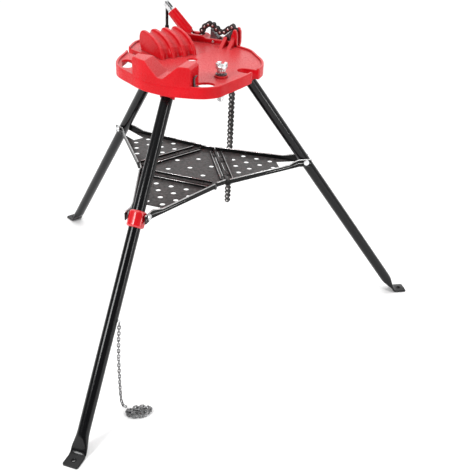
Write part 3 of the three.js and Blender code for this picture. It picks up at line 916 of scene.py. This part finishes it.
@dataclass
class TubeLeg(Assembly):
    """A round leg, flattened and bent out to a drilled foot.

    A run is measured down the leg's axis from its hinge. A pressed section has a run, half its thickness and
    half its width. A section of the bend has its way out from the heel, its lift and its pitch.
    """

    radius: float = 0.0167
    sides: int = 32
    tilt: float = 36.1
    hinge: Pair = (0.158, 0.815)
    top: float = -0.012
    pivot: float = 0.3547
    plain: tuple[float, ...] = (0.300, 0.640, 0.938)
    pressed: tuple[Point, ...] = (
        (0.950, 0.0158, 0.0173), (0.960, 0.0128, 0.0188), (0.970, 0.0088, 0.0206), (0.979, 0.0054, 0.0222),
    )
    flat: float = 0.988
    heel: float = 0.757
    bend: tuple[Point, ...] = (
        (-0.0125, 0.0052, 48.0), (-0.0065, 0.0017, 66.0), (0.0, 0.0, 90.0), (0.029, 0.0, 90.0),
    )
    foot_tip: float = 0.790
    foot_half: float = 0.023
    foot_thick: float = 0.007
    tip_thin: float = 0.8
    tip_narrow: float = 0.003
    foot_hole: Pair = (0.770, 0.005)
    foot_drill: float = 0.05
    hinge_bore: float = 0.0063
    pivot_bore: float = 0.0073
    cross_drill: float = 0.08
    drill_sides: int = 24
    eyelet_gap: float = 0.0016
    eyelet_wire: float = 0.0015
    eyelet_squeeze: float = 0.8

    def along(self, run: float) -> Vector:
        """A point on the leg's axis, in its own radial plane."""
        lean = math.radians(self.tilt)
        return Vector((self.hinge[0] + run * math.sin(lean), 0.0, self.hinge[1] - run * math.cos(lean)))

    def section(self, at: Vector, pitch: float) -> Matrix:
        """A section's frame: x square to the tube in its plane, y across, z back up the tube."""
        return moved(*at) @ turned(-pitch, "Y")

    def upper(self, run: float) -> Matrix:
        """The frame of a section on the leg's axis."""
        return self.section(self.along(run), self.tilt)

    def shape(self) -> Obj:
        """Draw the tube out ring by ring from a disc at its top.

        Returns:
            The leg before it is drilled.
        """
        half = self.foot_thick / 2
        rings = [(self.upper(run), self.radius, self.radius) for run in self.plain]
        rings += [(self.upper(run), thick, wide) for run, thick, wide in self.pressed]
        rings.append((self.upper(self.flat), half, self.foot_half))
        for out, lift, pitch in self.bend:
            bent = self.section(Vector((self.heel + out, 0.0, half + lift)), pitch)
            rings.append((bent, half, self.foot_half))
        tip = self.section(Vector((self.foot_tip, 0.0, half)), 90.0)
        rings.append((tip, half * self.tip_thin, self.foot_half - self.tip_narrow))
        before = self.upper(self.top)
        leg = Bench.put(Bench.disc("leg", self.radius, self.sides), before)
        Bench.edit(leg)
        old = (self.radius, self.radius)
        for after, *new in rings:
            bpy.ops.mesh.extrude_region()
            self.restation(leg, before, after, old, new)
            before, old = after, new
        return Bench.seal(leg)

    def restation(
        self, leg: Obj, before: Matrix, after: Matrix, old: Sequence[float], new: Sequence[float]
    ) -> None:
        """Carry the selected ring to its next place, with flat faces where the tube is pressed.

        Args:
            leg: the leg in edit mode.
            before: the ring's frame until now.
            after: its next frame.
            old: its half thickness and half width until now.
            new: its next half thickness and half width.
        """
        back = before.inverted()
        pitch = 2 * math.pi / self.sides
        for vert in (v for v in bmesh.from_edit_mesh(leg.data).verts if v.select):
            local = back @ vert.co
            across = local.y - math.copysign(min(abs(local.y), old[1] - old[0]), local.y)
            angle = round(math.atan2(local.x / old[0], across / old[0]) / pitch) * pitch
            level, rise = math.cos(angle), math.sin(angle)
            spread = 0.0 if abs(level) < TINY else math.copysign(new[1] - new[0], level)
            vert.co = after @ Vector((new[0] * rise, spread + new[0] * level, 0.0))

    def eyelet(self) -> Obj:
        """Make the pressed rim round the hole in the foot.

        Returns:
            A ring squeezed flat.
        """
        at, hole = self.foot_hole
        ring = Bench.ring("eyelet", hole + self.eyelet_gap, self.eyelet_wire, turns=28, sides=10)
        Bench.put(ring, Matrix.Diagonal((1.0, 1.0, self.eyelet_squeeze, 1.0)))
        return Bench.put(Bench.smooth(ring, angle=60.0), moved(at, 0.0, self.foot_thick))

    def build(self) -> None:
        """Make the leg once, drill it and set a copy at each station."""
        leg = self.shape()
        at, radius = self.foot_hole
        Bench.cut(leg, Bench.cylinder("drill", radius, self.foot_drill, self.drill_sides, (at, 0.0, 0.0)))
        for run, bore in ((0.0, self.hinge_bore), (self.pivot, self.pivot_bore)):
            drill = Bench.cylinder("drill", bore, self.cross_drill, self.drill_sides)
            Bench.cut(leg, Bench.put(drill, moved(*self.along(run)) @ turned(90.0, "X")))
        Bench.smooth(leg, angle=35.0)
        leg = Bench.join([leg, self.eyelet()], "leg")
        for side in Side:
            made = Bench.again(leg, side.station, f"tube_leg_{side.word}")
            self.trim.fit(made, side.leg, Slot.BLACK_TUBE, f"leg_{side.word}")
        bpy.data.objects.remove(leg)


@dataclass
class SoftenedNodes(Assembly):
    """Frame nodes that keep their shape and get rounded edges, each as wide as its name's start says."""

    widths: tuple[tuple[float, tuple[str, ...]], ...] = (
        (0.0005, ("jaw_left", "jaw_right")),
        (0.0006, ("tray_", "rest_clip")),
        (0.0008, ("jaw_pin", "hinge_", "pivot_bush", "fork_", "chain_", "handle_pin", "brace_ring")),
        (0.0009, ("tightening_screw",)),
        (0.0010, ("tightening_swivel",)),
        (0.0012, ("screw_handle",)),
    )

    def build(self) -> None:
        """Copy each node, round its edges and let the copy stand for it."""
        record = frame["record"]
        bodies = {node: body for body, nodes in record["behaviour"]["bodies"].items() for node in nodes}
        slots = {row["node"]: row["material_slot"] for row in record["subparts"]}
        for node in sorted(bodies):
            for width, starts in self.widths:
                if node.startswith(starts):
                    made = Bench.cast_of(node, f"{node}_finished")
                    Bench.smooth(Bench.soften(made, width))
                    Bench.modify(made, "WEIGHTED_NORMAL", keep_sharp=True)
                    self.trim.fit(made, Body(bodies[node]), Slot(slots[node]), node)


@dataclass
class BarrelCollar(Assembly):
    """The red barrel round the rear leg, with eight flats whose ends are arched by its swell."""

    leg: TubeLeg
    radius: float = 0.0270
    end: float = 0.0190
    half: float = 0.0230
    flat: float = 0.0240
    crisp: float = 0.48
    fullness: float = 2.6
    bore: float = 0.0171
    drop: float = 0.012
    turn: float = -11.5
    faces: int = 8
    steps: int = 10
    rows: int = 23
    finish: Enamel = replace(RED_ENAMEL, name="red_collar", relief=0.00008, polish=0.14, sheen=0.75)

    def shaped(self, co: Vector) -> Vector:
        """Place a point of the plain tube on the barrel.

        Args:
            co: the point on a tube of unit radius that runs from -1 to 1.

        Returns:
            The point on the barrel's skin or on one of its flats, whichever lies further in.
        """
        angle = math.atan2(co.y, co.x)
        pitch = 2 * math.pi / self.faces
        off = (angle + pitch / 2) % pitch - pitch / 2
        swell = math.sqrt(max(0.0, 1.0 - abs(co.z) ** self.fullness))
        face = self.flat * (1.0 + (1.0 / math.cos(off) - 1.0) * self.crisp)
        reach = min(face, self.end + (self.radius - self.end) * swell)
        return Vector((reach * math.cos(angle), reach * math.sin(angle), self.half * co.z))

    def build(self) -> None:
        """Shape an open tube face by face, turn its ends in to the leg and close the bore."""
        # The tube has unit radius and runs from -1 to 1 until it is shaped.
        collar = Bench.cylinder("barrel_collar", 1.0, 2.0, self.faces * self.steps)
        Bench.edit(collar)
        Bench.choose(collar, "faces", lambda face: abs(face.normal.z) > 0.9)
        bpy.ops.mesh.delete(type="ONLY_FACE")
        Bench.choose(collar, "edges", lambda edge: abs(edge.verts[0].co.z - edge.verts[1].co.z) > 1.0)
        bpy.ops.mesh.subdivide(number_cuts=self.rows)
        Bench.reshape(collar, self.shaped)
        bpy.ops.mesh.select_all(action="DESELECT")
        bpy.ops.mesh.select_non_manifold()
        bpy.ops.mesh.extrude_edges_move()
        grow = self.bore / self.end
        bpy.ops.transform.resize(value=(grow, grow, 1.0))
        bpy.ops.mesh.bridge_edge_loops()
        Bench.smooth(Bench.seal(collar), angle=28.0)
        place = Side.REAR.station @ self.leg.upper(self.leg.pivot + self.drop)
        Bench.put(collar, place @ turned(self.turn, "Z"))
        self.trim.fit(collar, Body.REAR_LEG, Slot.RED_CAST, "leg_collar", finish=self.finish)


@dataclass
class TrayHinges(Assembly):
    """Riveted leaves and grooved barrels beside the knuckles of each hinge line of the tray."""

    floor: float = 0.516
    leaf: Point = (0.0098, 0.040, 0.0014)
    leaf_edge: float = 0.0005
    centre_at: Pair = (0.0864, 0.092)
    wing_at: Pair = (0.1096, 0.050)
    rivet: float = 0.0027
    rivet_tall: float = 0.0024
    rivet_lift: float = 0.0004
    rivet_edge: float = 0.0011
    spread: float = 0.0125
    line: float = 0.098
    sag: float = 0.001
    barrel: float = 0.0055
    barrel_half: float = 0.0285
    knuckles: int = 5
    ends: Pair = (0.1126, 0.1246)
    end_barrel: float = 0.0068
    groove: Point = (0.92, 0.02, 0.06)
    groove_neck: float = 0.86
    groove_edge: float = 0.0003

    def pattern(self) -> Obj:
        """Make one leaf with two domed rivets.

        Returns:
            The leaf, lying on the xy plane at the origin.
        """
        thick = self.leaf[2]
        leaf = Bench.add("leaf", "cube", (0.0, 0.0, thick / 2), size=1.0, scale=self.leaf)
        parts = [Bench.soften(leaf, self.leaf_edge)]
        for way in (-1.0, 1.0):
            at = (0.0, way * self.spread, thick + self.rivet_lift)
            dome = Bench.cylinder("rivet", self.rivet, self.rivet_tall, sides=14, at=at)
            parts.append(Bench.soften(dome, self.rivet_edge, steps=3))
        return Bench.smooth(Bench.join(parts, "leaf"))

    def pair(self, leaf: Obj, side: Side, at: Pair) -> list[Obj]:
        """A leaf at each end of a hinge line."""
        places = [moved(at[0], way * at[1], self.floor) for way in (-1.0, 1.0)]
        return [Bench.again(leaf, side.station @ place) for place in places]

    def sleeve(self, side: Side, low: float, high: float, reach: float, count: int) -> Obj:
        """Make a grooved barrel on a hinge line.

        Args:
            side: the hinge line's side.
            low: where the barrel starts along the line.
            high: where it ends.
            reach: its radius.
            count: how many rolled knuckles its grooves part it into.

        Returns:
            The barrel in place.
        """
        sleeve = Bench.disc("sleeve", reach, sides=20)
        Bench.edit(sleeve)
        plain, neck, gap = ((high - low) / count * share for share in self.groove)
        for left in reversed(range(count)):
            Bench.rise(plain)
            Bench.rise(neck, self.groove_neck)
            Bench.rise(gap, 1.0 / self.groove_neck if left else 1.0)
        Bench.smooth(Bench.soften(Bench.seal(sleeve), self.groove_edge, steps=1, angle=50.0))
        place = moved(self.line, high, self.floor - self.sag)
        return Bench.put(sleeve, side.station @ place @ turned(90.0, "X"))

    def build(self) -> None:
        """Set the leaves and barrels on the centre panel and the leaves on each wing."""
        leaf = self.pattern()
        middle: list[Obj] = []
        near, far = self.ends
        for side in Side:
            middle += self.pair(leaf, side, self.centre_at)
            middle.append(self.sleeve(side, -self.barrel_half, self.barrel_half, self.barrel, self.knuckles))
            for low, high in ((near, far), (-far, -near)):
                middle.append(self.sleeve(side, low, high, self.end_barrel, count=1))
            outer = Bench.join(self.pair(leaf, side, self.wing_at), f"hinge_leaves_{side.word}")
            self.trim.fit(outer, side.wing, Slot.TRAY_SHEET)
        self.trim.fit(Bench.join(middle, "hinge_leaves_centre"), Body.TRAY, Slot.TRAY_SHEET)
        bpy.data.objects.remove(leaf)


@dataclass
class RolledRims(Assembly):
    """Rolled and creased edges of the tray's rims and hinge flanges, in light bare metal: partly rubbed
    wear, partly painted highlights.

    A crease or a fold runs outside its rim's middle, at a share of the rim's height.
    """

    floor: float = 0.514
    lip: float = 0.0012
    rim: float = 0.014
    fork_rim: float = 0.023
    wall: float = 0.003
    start: float = 0.105
    lap: float = 0.002
    panel: float = 0.124
    rise: Pair = (0.305, 0.337)
    fork: float = 0.0195
    rear_fork: float = 0.0285
    kink: float = 0.345
    tip: float = 0.382
    bead: float = 0.0019
    crease: float = 0.0006
    crease_at: Pair = (0.0012, 0.46)
    fold: float = 0.0017
    fold_at: Pair = (0.0008, 0.0)
    corner: Pair = (0.1519, 0.0165)
    flange_half: float = 0.103
    flange_top: float = 0.5226
    flange_in: float = 0.080
    flange_out: float = 0.116
    # Light bare metal on the beads, creases and flange tops: partly rubbed wear, partly painted highlight
    # lines.
    rubbed: BareMetal = BareMetal("worn_edge_highlight", (0.60, 0.60, 0.60), (0.14, 0.135, 0.13), 0.20, 0.75)

    def middle(self, side: Side, out: float) -> float:
        """Half the distance between the middles of a wing's two rims, that far out."""
        fork = (self.rear_fork if side is Side.REAR else self.fork) + self.wall
        share = min(max((out - self.start) / (self.kink - self.start), 0.0), 1.0)
        return self.panel + (fork - self.panel) * share - self.wall / 2

    def line(self, side: Side, way: float, inset: float = 0.0, share: float = 1.0) -> list[Vector]:
        """Draw a line that runs along one rim of a wing.

        Args:
            side: the wing's side.
            way: 1 or -1 for the rim on either hand.
            inset: how far outside the rim's middle it runs.
            share: its height as a share of the rim's.

        Returns:
            The line's points in the side's radial plane.
        """
        heights = (
            (self.start - self.lap, self.rim), (self.rise[0], self.rim), (self.rise[1], self.fork_rim),
            (self.kink, self.fork_rim), (self.tip, self.fork_rim),
        )
        points = []
        for out, tall in heights:
            level = self.floor + self.lip + (tall - self.lip) * share
            points.append(Vector((out, way * (self.middle(side, out) + inset), level)))
        return points

    def bar(self, name: str, out: float, half: float, level: float, radius: float, sides: int = 10) -> Obj:
        """A straight edge across a side's radial plane."""
        return Bench.rail(name, [Vector((out, way * half, level)) for way in (-1.0, 1.0)], radius, sides)

    def flange(self, out: float) -> Obj:
        """The top of an upstanding flange beside a hinge line, worn bare with a painted highlight."""
        return self.bar("flange_edge", out, self.flange_half, self.flange_top, 2 * self.crease, sides=8)

    def build(self) -> None:
        """Run the edges round each wing, along the flanges and the centre panel's three corners."""
        centre: list[Obj] = []
        for side in Side:
            edges, folds = [self.flange(self.flange_out)], []
            for way in (-1.0, 1.0):
                crease = self.line(side, way, *self.crease_at)
                edges.append(Bench.rail("bead", self.line(side, way), self.bead))
                edges.append(Bench.rail("crease", crease, self.crease, sides=8))
                folds.append(Bench.rail("fold", self.line(side, way, *self.fold_at), self.fold, sides=8))
            # Beads and creases take the light metal: partly wear, partly painted highlight lines; the folds
            # stay black.
            rims = Bench.smooth(Bench.join(edges, f"rubbed_rim_{side.word}"), angle=50.0)
            self.trim.fit(Bench.put(rims, side.station), side.wing, Slot.DARK_STEEL, finish=self.rubbed)
            feet = Bench.smooth(Bench.join(folds, f"rolled_foot_{side.word}"), angle=50.0)
            self.trim.fit(Bench.put(feet, side.station), side.wing, Slot.BLACK_TUBE)
            # A corner of the centre panel lies midway between two sides.
            corner = self.bar("corner_bead", *self.corner, self.floor + self.rim, self.bead)
            centre.append(Bench.put(corner, side.station @ turned(60.0, "Z")))
            centre.append(Bench.put(self.flange(self.flange_in), side.station))
        middle = Bench.smooth(Bench.join(centre, "rubbed_rim_centre"), angle=50.0)
        self.trim.fit(middle, Body.TRAY, Slot.DARK_STEEL, finish=self.rubbed)


@dataclass
class BraceScrew(Assembly):
    """The ceiling brace: a toothed crown on a threaded shank."""

    at: Pair = (0.120, -0.078 + SHIFT)
    foot: float = 0.776
    shoulder: float = 0.8552
    crown_foot: float = 0.8685
    crown_edge: float = 0.0013
    overlap: float = 0.001
    neck: float = 0.0128
    flutes: int = 12
    flute_floor: float = 0.84
    flute_edge: float = 0.0004
    crest: float = 0.0090
    root: float = 0.0078
    point: float = 0.0070
    pitch: float = 0.0030
    thread_edge: float = 0.0003

    def shank(self) -> Obj:
        """Draw the thread up from a disc, in and out by turns.

        Returns:
            The shank in place.
        """
        shank = Bench.disc("shank", self.point, sides=24)
        Bench.edit(shank)
        reach = self.point
        for step in range(int((self.shoulder + self.overlap - self.foot) / (self.pitch / 2))):
            wanted = self.crest if step % 2 else self.root
            Bench.rise(self.pitch / 2, wanted / reach)
            reach = wanted
        Bench.soften(Bench.seal(shank), self.thread_edge, steps=1, angle=30.0)
        return Bench.put(shank, moved(*self.at, self.foot))

    def pulled(self, co: Vector) -> Vector:
        """Every other point of the grip's rim, pulled in."""
        share = (math.atan2(co.y, co.x) - math.pi / 2) / (math.pi / self.flutes)
        return co * (self.flute_floor if round(share) % 2 else 1.0)

    def fluted(self) -> Obj:
        """Draw the grip under the crown up from a disc with a fluted rim.

        Returns:
            The grip in place.
        """
        grip = Bench.disc("grip", self.neck, self.flutes * 2)
        Bench.edit(grip)
        Bench.reshape(grip, self.pulled)
        bpy.ops.mesh.select_all(action="SELECT")
        Bench.rise(self.crown_foot + self.overlap - self.shoulder)
        Bench.soften(Bench.seal(grip), self.flute_edge, angle=25.0)
        return Bench.put(grip, moved(*self.at, self.shoulder))

    def build(self) -> None:
        """Keep the crown of the frame's screw and give it a fluted grip and a threaded shank."""
        crown = Bench.cast_of("ceiling_brace_screw", "crown")
        Bench.edit(crown)
        bpy.ops.mesh.select_all(action="SELECT")
        bpy.ops.mesh.bisect(
            plane_co=(0.0, 0.0, self.crown_foot), plane_no=(0.0, 0.0, 1.0), use_fill=True, clear_inner=True
        )
        Bench.soften(Bench.close(crown), self.crown_edge, steps=3, angle=30.0)
        screw = Bench.join([crown, self.fluted(), self.shank()], "brace_screw_threaded")
        Bench.smooth(screw, angle=35.0)
        self.trim.fit(screw, Body.BRACE_SCREW, Slot.BRIGHT_ZINC, "ceiling_brace_screw")


@dataclass
class LeafChain(Assembly):
    """The vise's chain: waisted plates in pairs, on pins with rollers.

    Its two lines are given by x and z in millimetres.
    """

    pitch: float = 0.0152
    pin_radius: float = 0.0034
    pin_ends: float = 0.0052
    pin_edge: float = 0.0008
    roller_radius: float = 0.0050
    roller_play: float = 0.0006
    roller_edge: float = 0.0004
    end_radius: float = 0.0091
    waist: float = 0.0046
    waist_share: float = 0.75
    waist_cuts: int = 3
    thick: float = 0.0019
    plate_edge: float = 0.0005
    outer: float = 0.0062
    inner: float = 0.0038
    over: tuple[Pair, ...] = (
        (-66, 846), (-66, 862), (-64, 878), (-53, 892), (-40, 898), (-27, 894), (-13, 882.5), (0, 876.5),
        (13, 882.5), (27, 894), (37, 898), (42.5, 889), (42.5, 872),
    )
    tail: tuple[Pair, ...] = ((42.5, 864), (42.5, 580), (42.5, 297))
    fineness: int = 24
    vise_y: float = 0.250 + SHIFT
    plate_finish: BareMetal = BareMetal(
        "blued_plate", (0.075, 0.072, 0.072), (0.02, 0.018, 0.017), 0.24, 0.85
    )
    pin_finish: BareMetal = BareMetal("worn_pin", (0.62, 0.61, 0.60), (0.22, 0.20, 0.18), 0.20, 0.6)

    def waisted(self, co: Vector) -> Vector:
        """A point of the plate, drawn in if it lies near the waist."""
        near = abs(co.x - self.pitch / 2) / (self.pitch / 2)
        half = self.waist + (self.end_radius - self.waist) * near ** 2
        return Vector((co.x, co.y * half / self.end_radius, co.z)) if near < self.waist_share else co

    def link_plate(self) -> Obj:
        """Draw one plate from a disc whose far half is pulled out to the next pin.

        Returns:
            The plate, lying on the xy plane with its first pin at the origin.
        """
        plate = Bench.disc("plate", self.end_radius, sides=20)
        Bench.edit(plate)
        Bench.shift(plate, moved(self.pitch, 0.0, 0.0), lambda co: co.x > TINY)
        # Only the two edges that were pulled out are longer than this.
        long = self.pitch * 0.6
        Bench.choose(plate, "edges", lambda edge: abs(edge.verts[0].co.x - edge.verts[1].co.x) > long)
        bpy.ops.mesh.subdivide(number_cuts=self.waist_cuts)
        Bench.reshape(plate, self.waisted)
        bpy.ops.mesh.select_all(action="SELECT")
        Bench.rise(self.thick)
        return Bench.soften(Bench.seal(plate), self.plate_edge, steps=1, angle=50.0)

    def stops(self, points: Sequence[Pair]) -> list[Vector]:
        """Space the pins along a smooth line.

        Args:
            points: x and z of the places that the line goes through, in millimetres.

        Returns:
            The pins' places, about a pitch apart.
        """
        knots = [Vector((*point, 0.0)) for point in (points[0], *points, points[-1])]
        dense: list[Vector] = []
        # A Catmull-Rom curve through the knots.
        for a, b, c, d in zip(knots, knots[1:], knots[2:], knots[3:]):
            for step in range(self.fineness):
                t = step / self.fineness
                square = (2 * a - 5 * b + 4 * c - d) * t * t
                dense.append(0.5 * (2 * b + (c - a) * t + square + (3 * b - a - 3 * c + d) * t ** 3))
        dense.append(knots[-1])
        total = length(dense)
        number = max(2, round(total * MM / self.pitch))
        found = [walk(dense, total * i / number) for i in range(number + 1)]
        return [Vector((at.x * MM, self.vise_y, at.y * MM)) for at in found]

    def string(self, name: str, points: Sequence[Pair]) -> tuple[Obj, Obj]:
        """Hang plates, pins and rollers along a line.

        Args:
            name: the finished chain's name.
            points: x and z of the line, in millimetres.

        Returns:
            The plates as one object, and the pins with their rollers as another.
        """
        plate = self.link_plate()
        pin = Bench.cylinder("pin", self.pin_radius, self.outer * 2 + self.pin_ends, sides=14)
        Bench.soften(pin, self.pin_edge)
        roller = Bench.cylinder("roller", self.roller_radius, self.inner * 2 - self.roller_play, sides=18)
        Bench.soften(roller, self.roller_edge, steps=1)
        parts: list[Obj] = []
        places = self.stops(points)
        for i, (here, there) in enumerate(zip(places, places[1:])):
            run = there - here
            aim = moved(*here) @ Matrix.Rotation(-math.atan2(run.z, run.x), 4, "Y")
            stretch = Matrix.Diagonal((run.length / self.pitch, 1.0, 1.0, 1.0))
            off = self.outer if i % 2 else self.inner
            for across in (-off - self.thick, off):
                place = aim @ moved(0.0, across, 0.0) @ stretch @ turned(-90.0, "X")
                parts.append(Bench.again(plate, place))
        spots = [moved(*here) @ turned(90.0, "X") for here in places]
        pins = [Bench.again(each, spot) for spot in spots for each in (pin, roller)]
        for pattern in (plate, pin, roller):
            bpy.data.objects.remove(pattern)
        plates = Bench.smooth(Bench.join(parts, f"{name}_plates"))
        return plates, Bench.smooth(Bench.join(pins, f"{name}_pins"))

    def build(self) -> None:
        """Lay the chain over the jaws and hang its tail from the ears."""
        lines = (
            ("vise_chain", self.over, Body.HEAD, "vise_chain_over_jaw"),
            ("chain_tail", self.tail, Body.CHAIN_TAIL, "vise_chain_tail"),
        )
        for name, points, body, node in lines:
            plates, pins = self.string(name, points)
            self.trim.fit(plates, body, Slot.DARK_STEEL, node, finish=self.plate_finish)
            self.trim.fit(pins, body, Slot.DARK_STEEL, finish=self.pin_finish)


@dataclass
class LegChain(Assembly):
    """The bright chain of oval links on the rear leg, with its loose end on the floor.

    Each place of the drop has its way from the eye, along x and y, and its height.
    """

    leg: TubeLeg
    wire: float = 0.0016
    radius: float = 0.0037
    stretch: float = 0.0056
    eye_run: float = 0.641
    eye_side: float = 0.022
    eye_gap: float = 0.006
    drop: tuple[Point, ...] = (
        (-0.003, -0.002, 0.240), (-0.005, -0.003, 0.170), (-0.004, -0.004, 0.090), (-0.002, -0.005, 0.030),
        (0.003, -0.005, 0.009),
    )
    heap: Pair = (0.075, -0.542)
    heap_radii: Pair = (0.0315, 0.0245)
    heap_gap: float = 0.004
    landing: float = 0.0062
    low: float = 0.0052
    lift: float = 0.0062
    waves: float = 2.4
    settled: float = 0.4
    loops: float = 4.6
    loop_steps: int = 14
    draw_in: float = 0.62
    sway: Pair = (0.16, 7.3)
    skew: float = 1.07
    grip: Pair = (0.05, 0.95)
    finish: BareMetal = BareMetal("dull_zinc", (0.30, 0.30, 0.305), (0.05, 0.05, 0.05), 0.20, 0.9)

    @property
    def pitch(self) -> float:
        """Centre to centre of two links that pull on each other."""
        return self.stretch + 2 * self.radius - 2 * self.wire

    def link(self) -> Obj:
        """Make one oval link, a ring whose far half is pulled out.

        Returns:
            The link, its middle at the origin.
        """
        link = Bench.ring("link", self.radius, self.wire, turns=16, sides=8)
        Bench.edit(link)
        Bench.shift(link, moved(self.stretch, 0.0, 0.0), lambda co: co.x > TINY)
        Bench.smooth(Bench.close(link), angle=60.0)
        return Bench.put(link, moved(-self.stretch / 2, 0.0, 0.0))

    def hanging(self) -> list[Vector]:
        """Draw the run from the eye down to the floor.

        Returns:
            The run's points, before the shift to the stand's middle.
        """
        eye = self.leg.along(self.eye_run)
        start = Vector((self.eye_side, -eye.x, eye.z - self.eye_gap))
        fall = [Vector((self.eye_side + x, y - eye.x, level)) for x, y, level in self.drop]
        end = Vector((self.heap[0] - self.heap_radii[0] - self.heap_gap, self.heap[1], self.landing))
        return [start, *fall, end]

    def piled(self) -> list[Vector]:
        """Wind the loose end to and fro in a low heap.

        Returns:
            The heap's points, before the shift to the stand's middle.
        """
        points = []
        count = int(self.loops * self.loop_steps)
        for i in range(count + 1):
            t = i / count
            angle = math.pi + 2 * math.pi * self.loops * t
            reach = 1.0 - self.draw_in * t + self.sway[0] * math.sin(self.sway[1] * t * math.pi)
            wave = 0.5 - 0.5 * math.cos(2 * math.pi * self.waves * t)
            across = self.heap_radii[0] * reach * math.cos(angle)
            deep = self.heap_radii[1] * reach * math.sin(angle * self.skew)
            level = self.low + self.lift * wave * (self.settled + (1.0 - self.settled) * t)
            points.append(Vector((self.heap[0] + across, self.heap[1] + deep, level)))
        return points

    def thread(self, name: str, points: Sequence[Vector], roll: float) -> Obj:
        """String links along a line, each turned a quarter from the last.

        Args:
            name: the finished piece's name.
            points: the line, before the shift to the stand's middle.
            roll: the first link's roll in degrees.

        Returns:
            The links as one object.
        """
        pattern = self.link()
        parts = []
        for i in range(int(length(points) / self.pitch)):
            here, ahead = (walk(points, (i + share) * self.pitch) for share in self.grip)
            aim = (ahead - here).normalized().to_track_quat("X", "Z").to_matrix().to_4x4()
            place = moved(*((here + ahead) / 2 + Vector((0.0, SHIFT, 0.0))))
            parts.append(Bench.again(pattern, place @ aim @ turned(roll + 90.0 * (i % 2), "X")))
        bpy.data.objects.remove(pattern)
        return Bench.smooth(Bench.join(parts, name), angle=60.0)

    def build(self) -> None:
        """Hang the run and pile the rest."""
        run = self.thread("leg_chain_links", self.hanging(), roll=0.0)
        self.trim.fit(run, Body.REAR_LEG, Slot.BRIGHT_ZINC, "leg_chain_run", finish=self.finish)
        heap = self.thread("leg_chain_pile", self.piled(), roll=45.0)
        self.trim.fit(heap, Body.REAR_LEG, Slot.BRIGHT_ZINC, "leg_chain_heap", finish=self.finish)


def main() -> None:
    """Build every sub-assembly in order."""
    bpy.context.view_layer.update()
    studio = Studio()
    studio.camera()
    studio.room()
    trim = Trim()
    trim.coat()
    leg = TubeLeg(trim)
    assemblies = (
        CastHead(trim), leg, SoftenedNodes(trim), BarrelCollar(trim, leg), TrayHinges(trim),
        RolledRims(trim), BraceScrew(trim), LeafChain(trim), LegChain(trim, leg),
    )
    for assembly in assemblies:
        assembly.build()


if __name__ == "__main__":
    main()
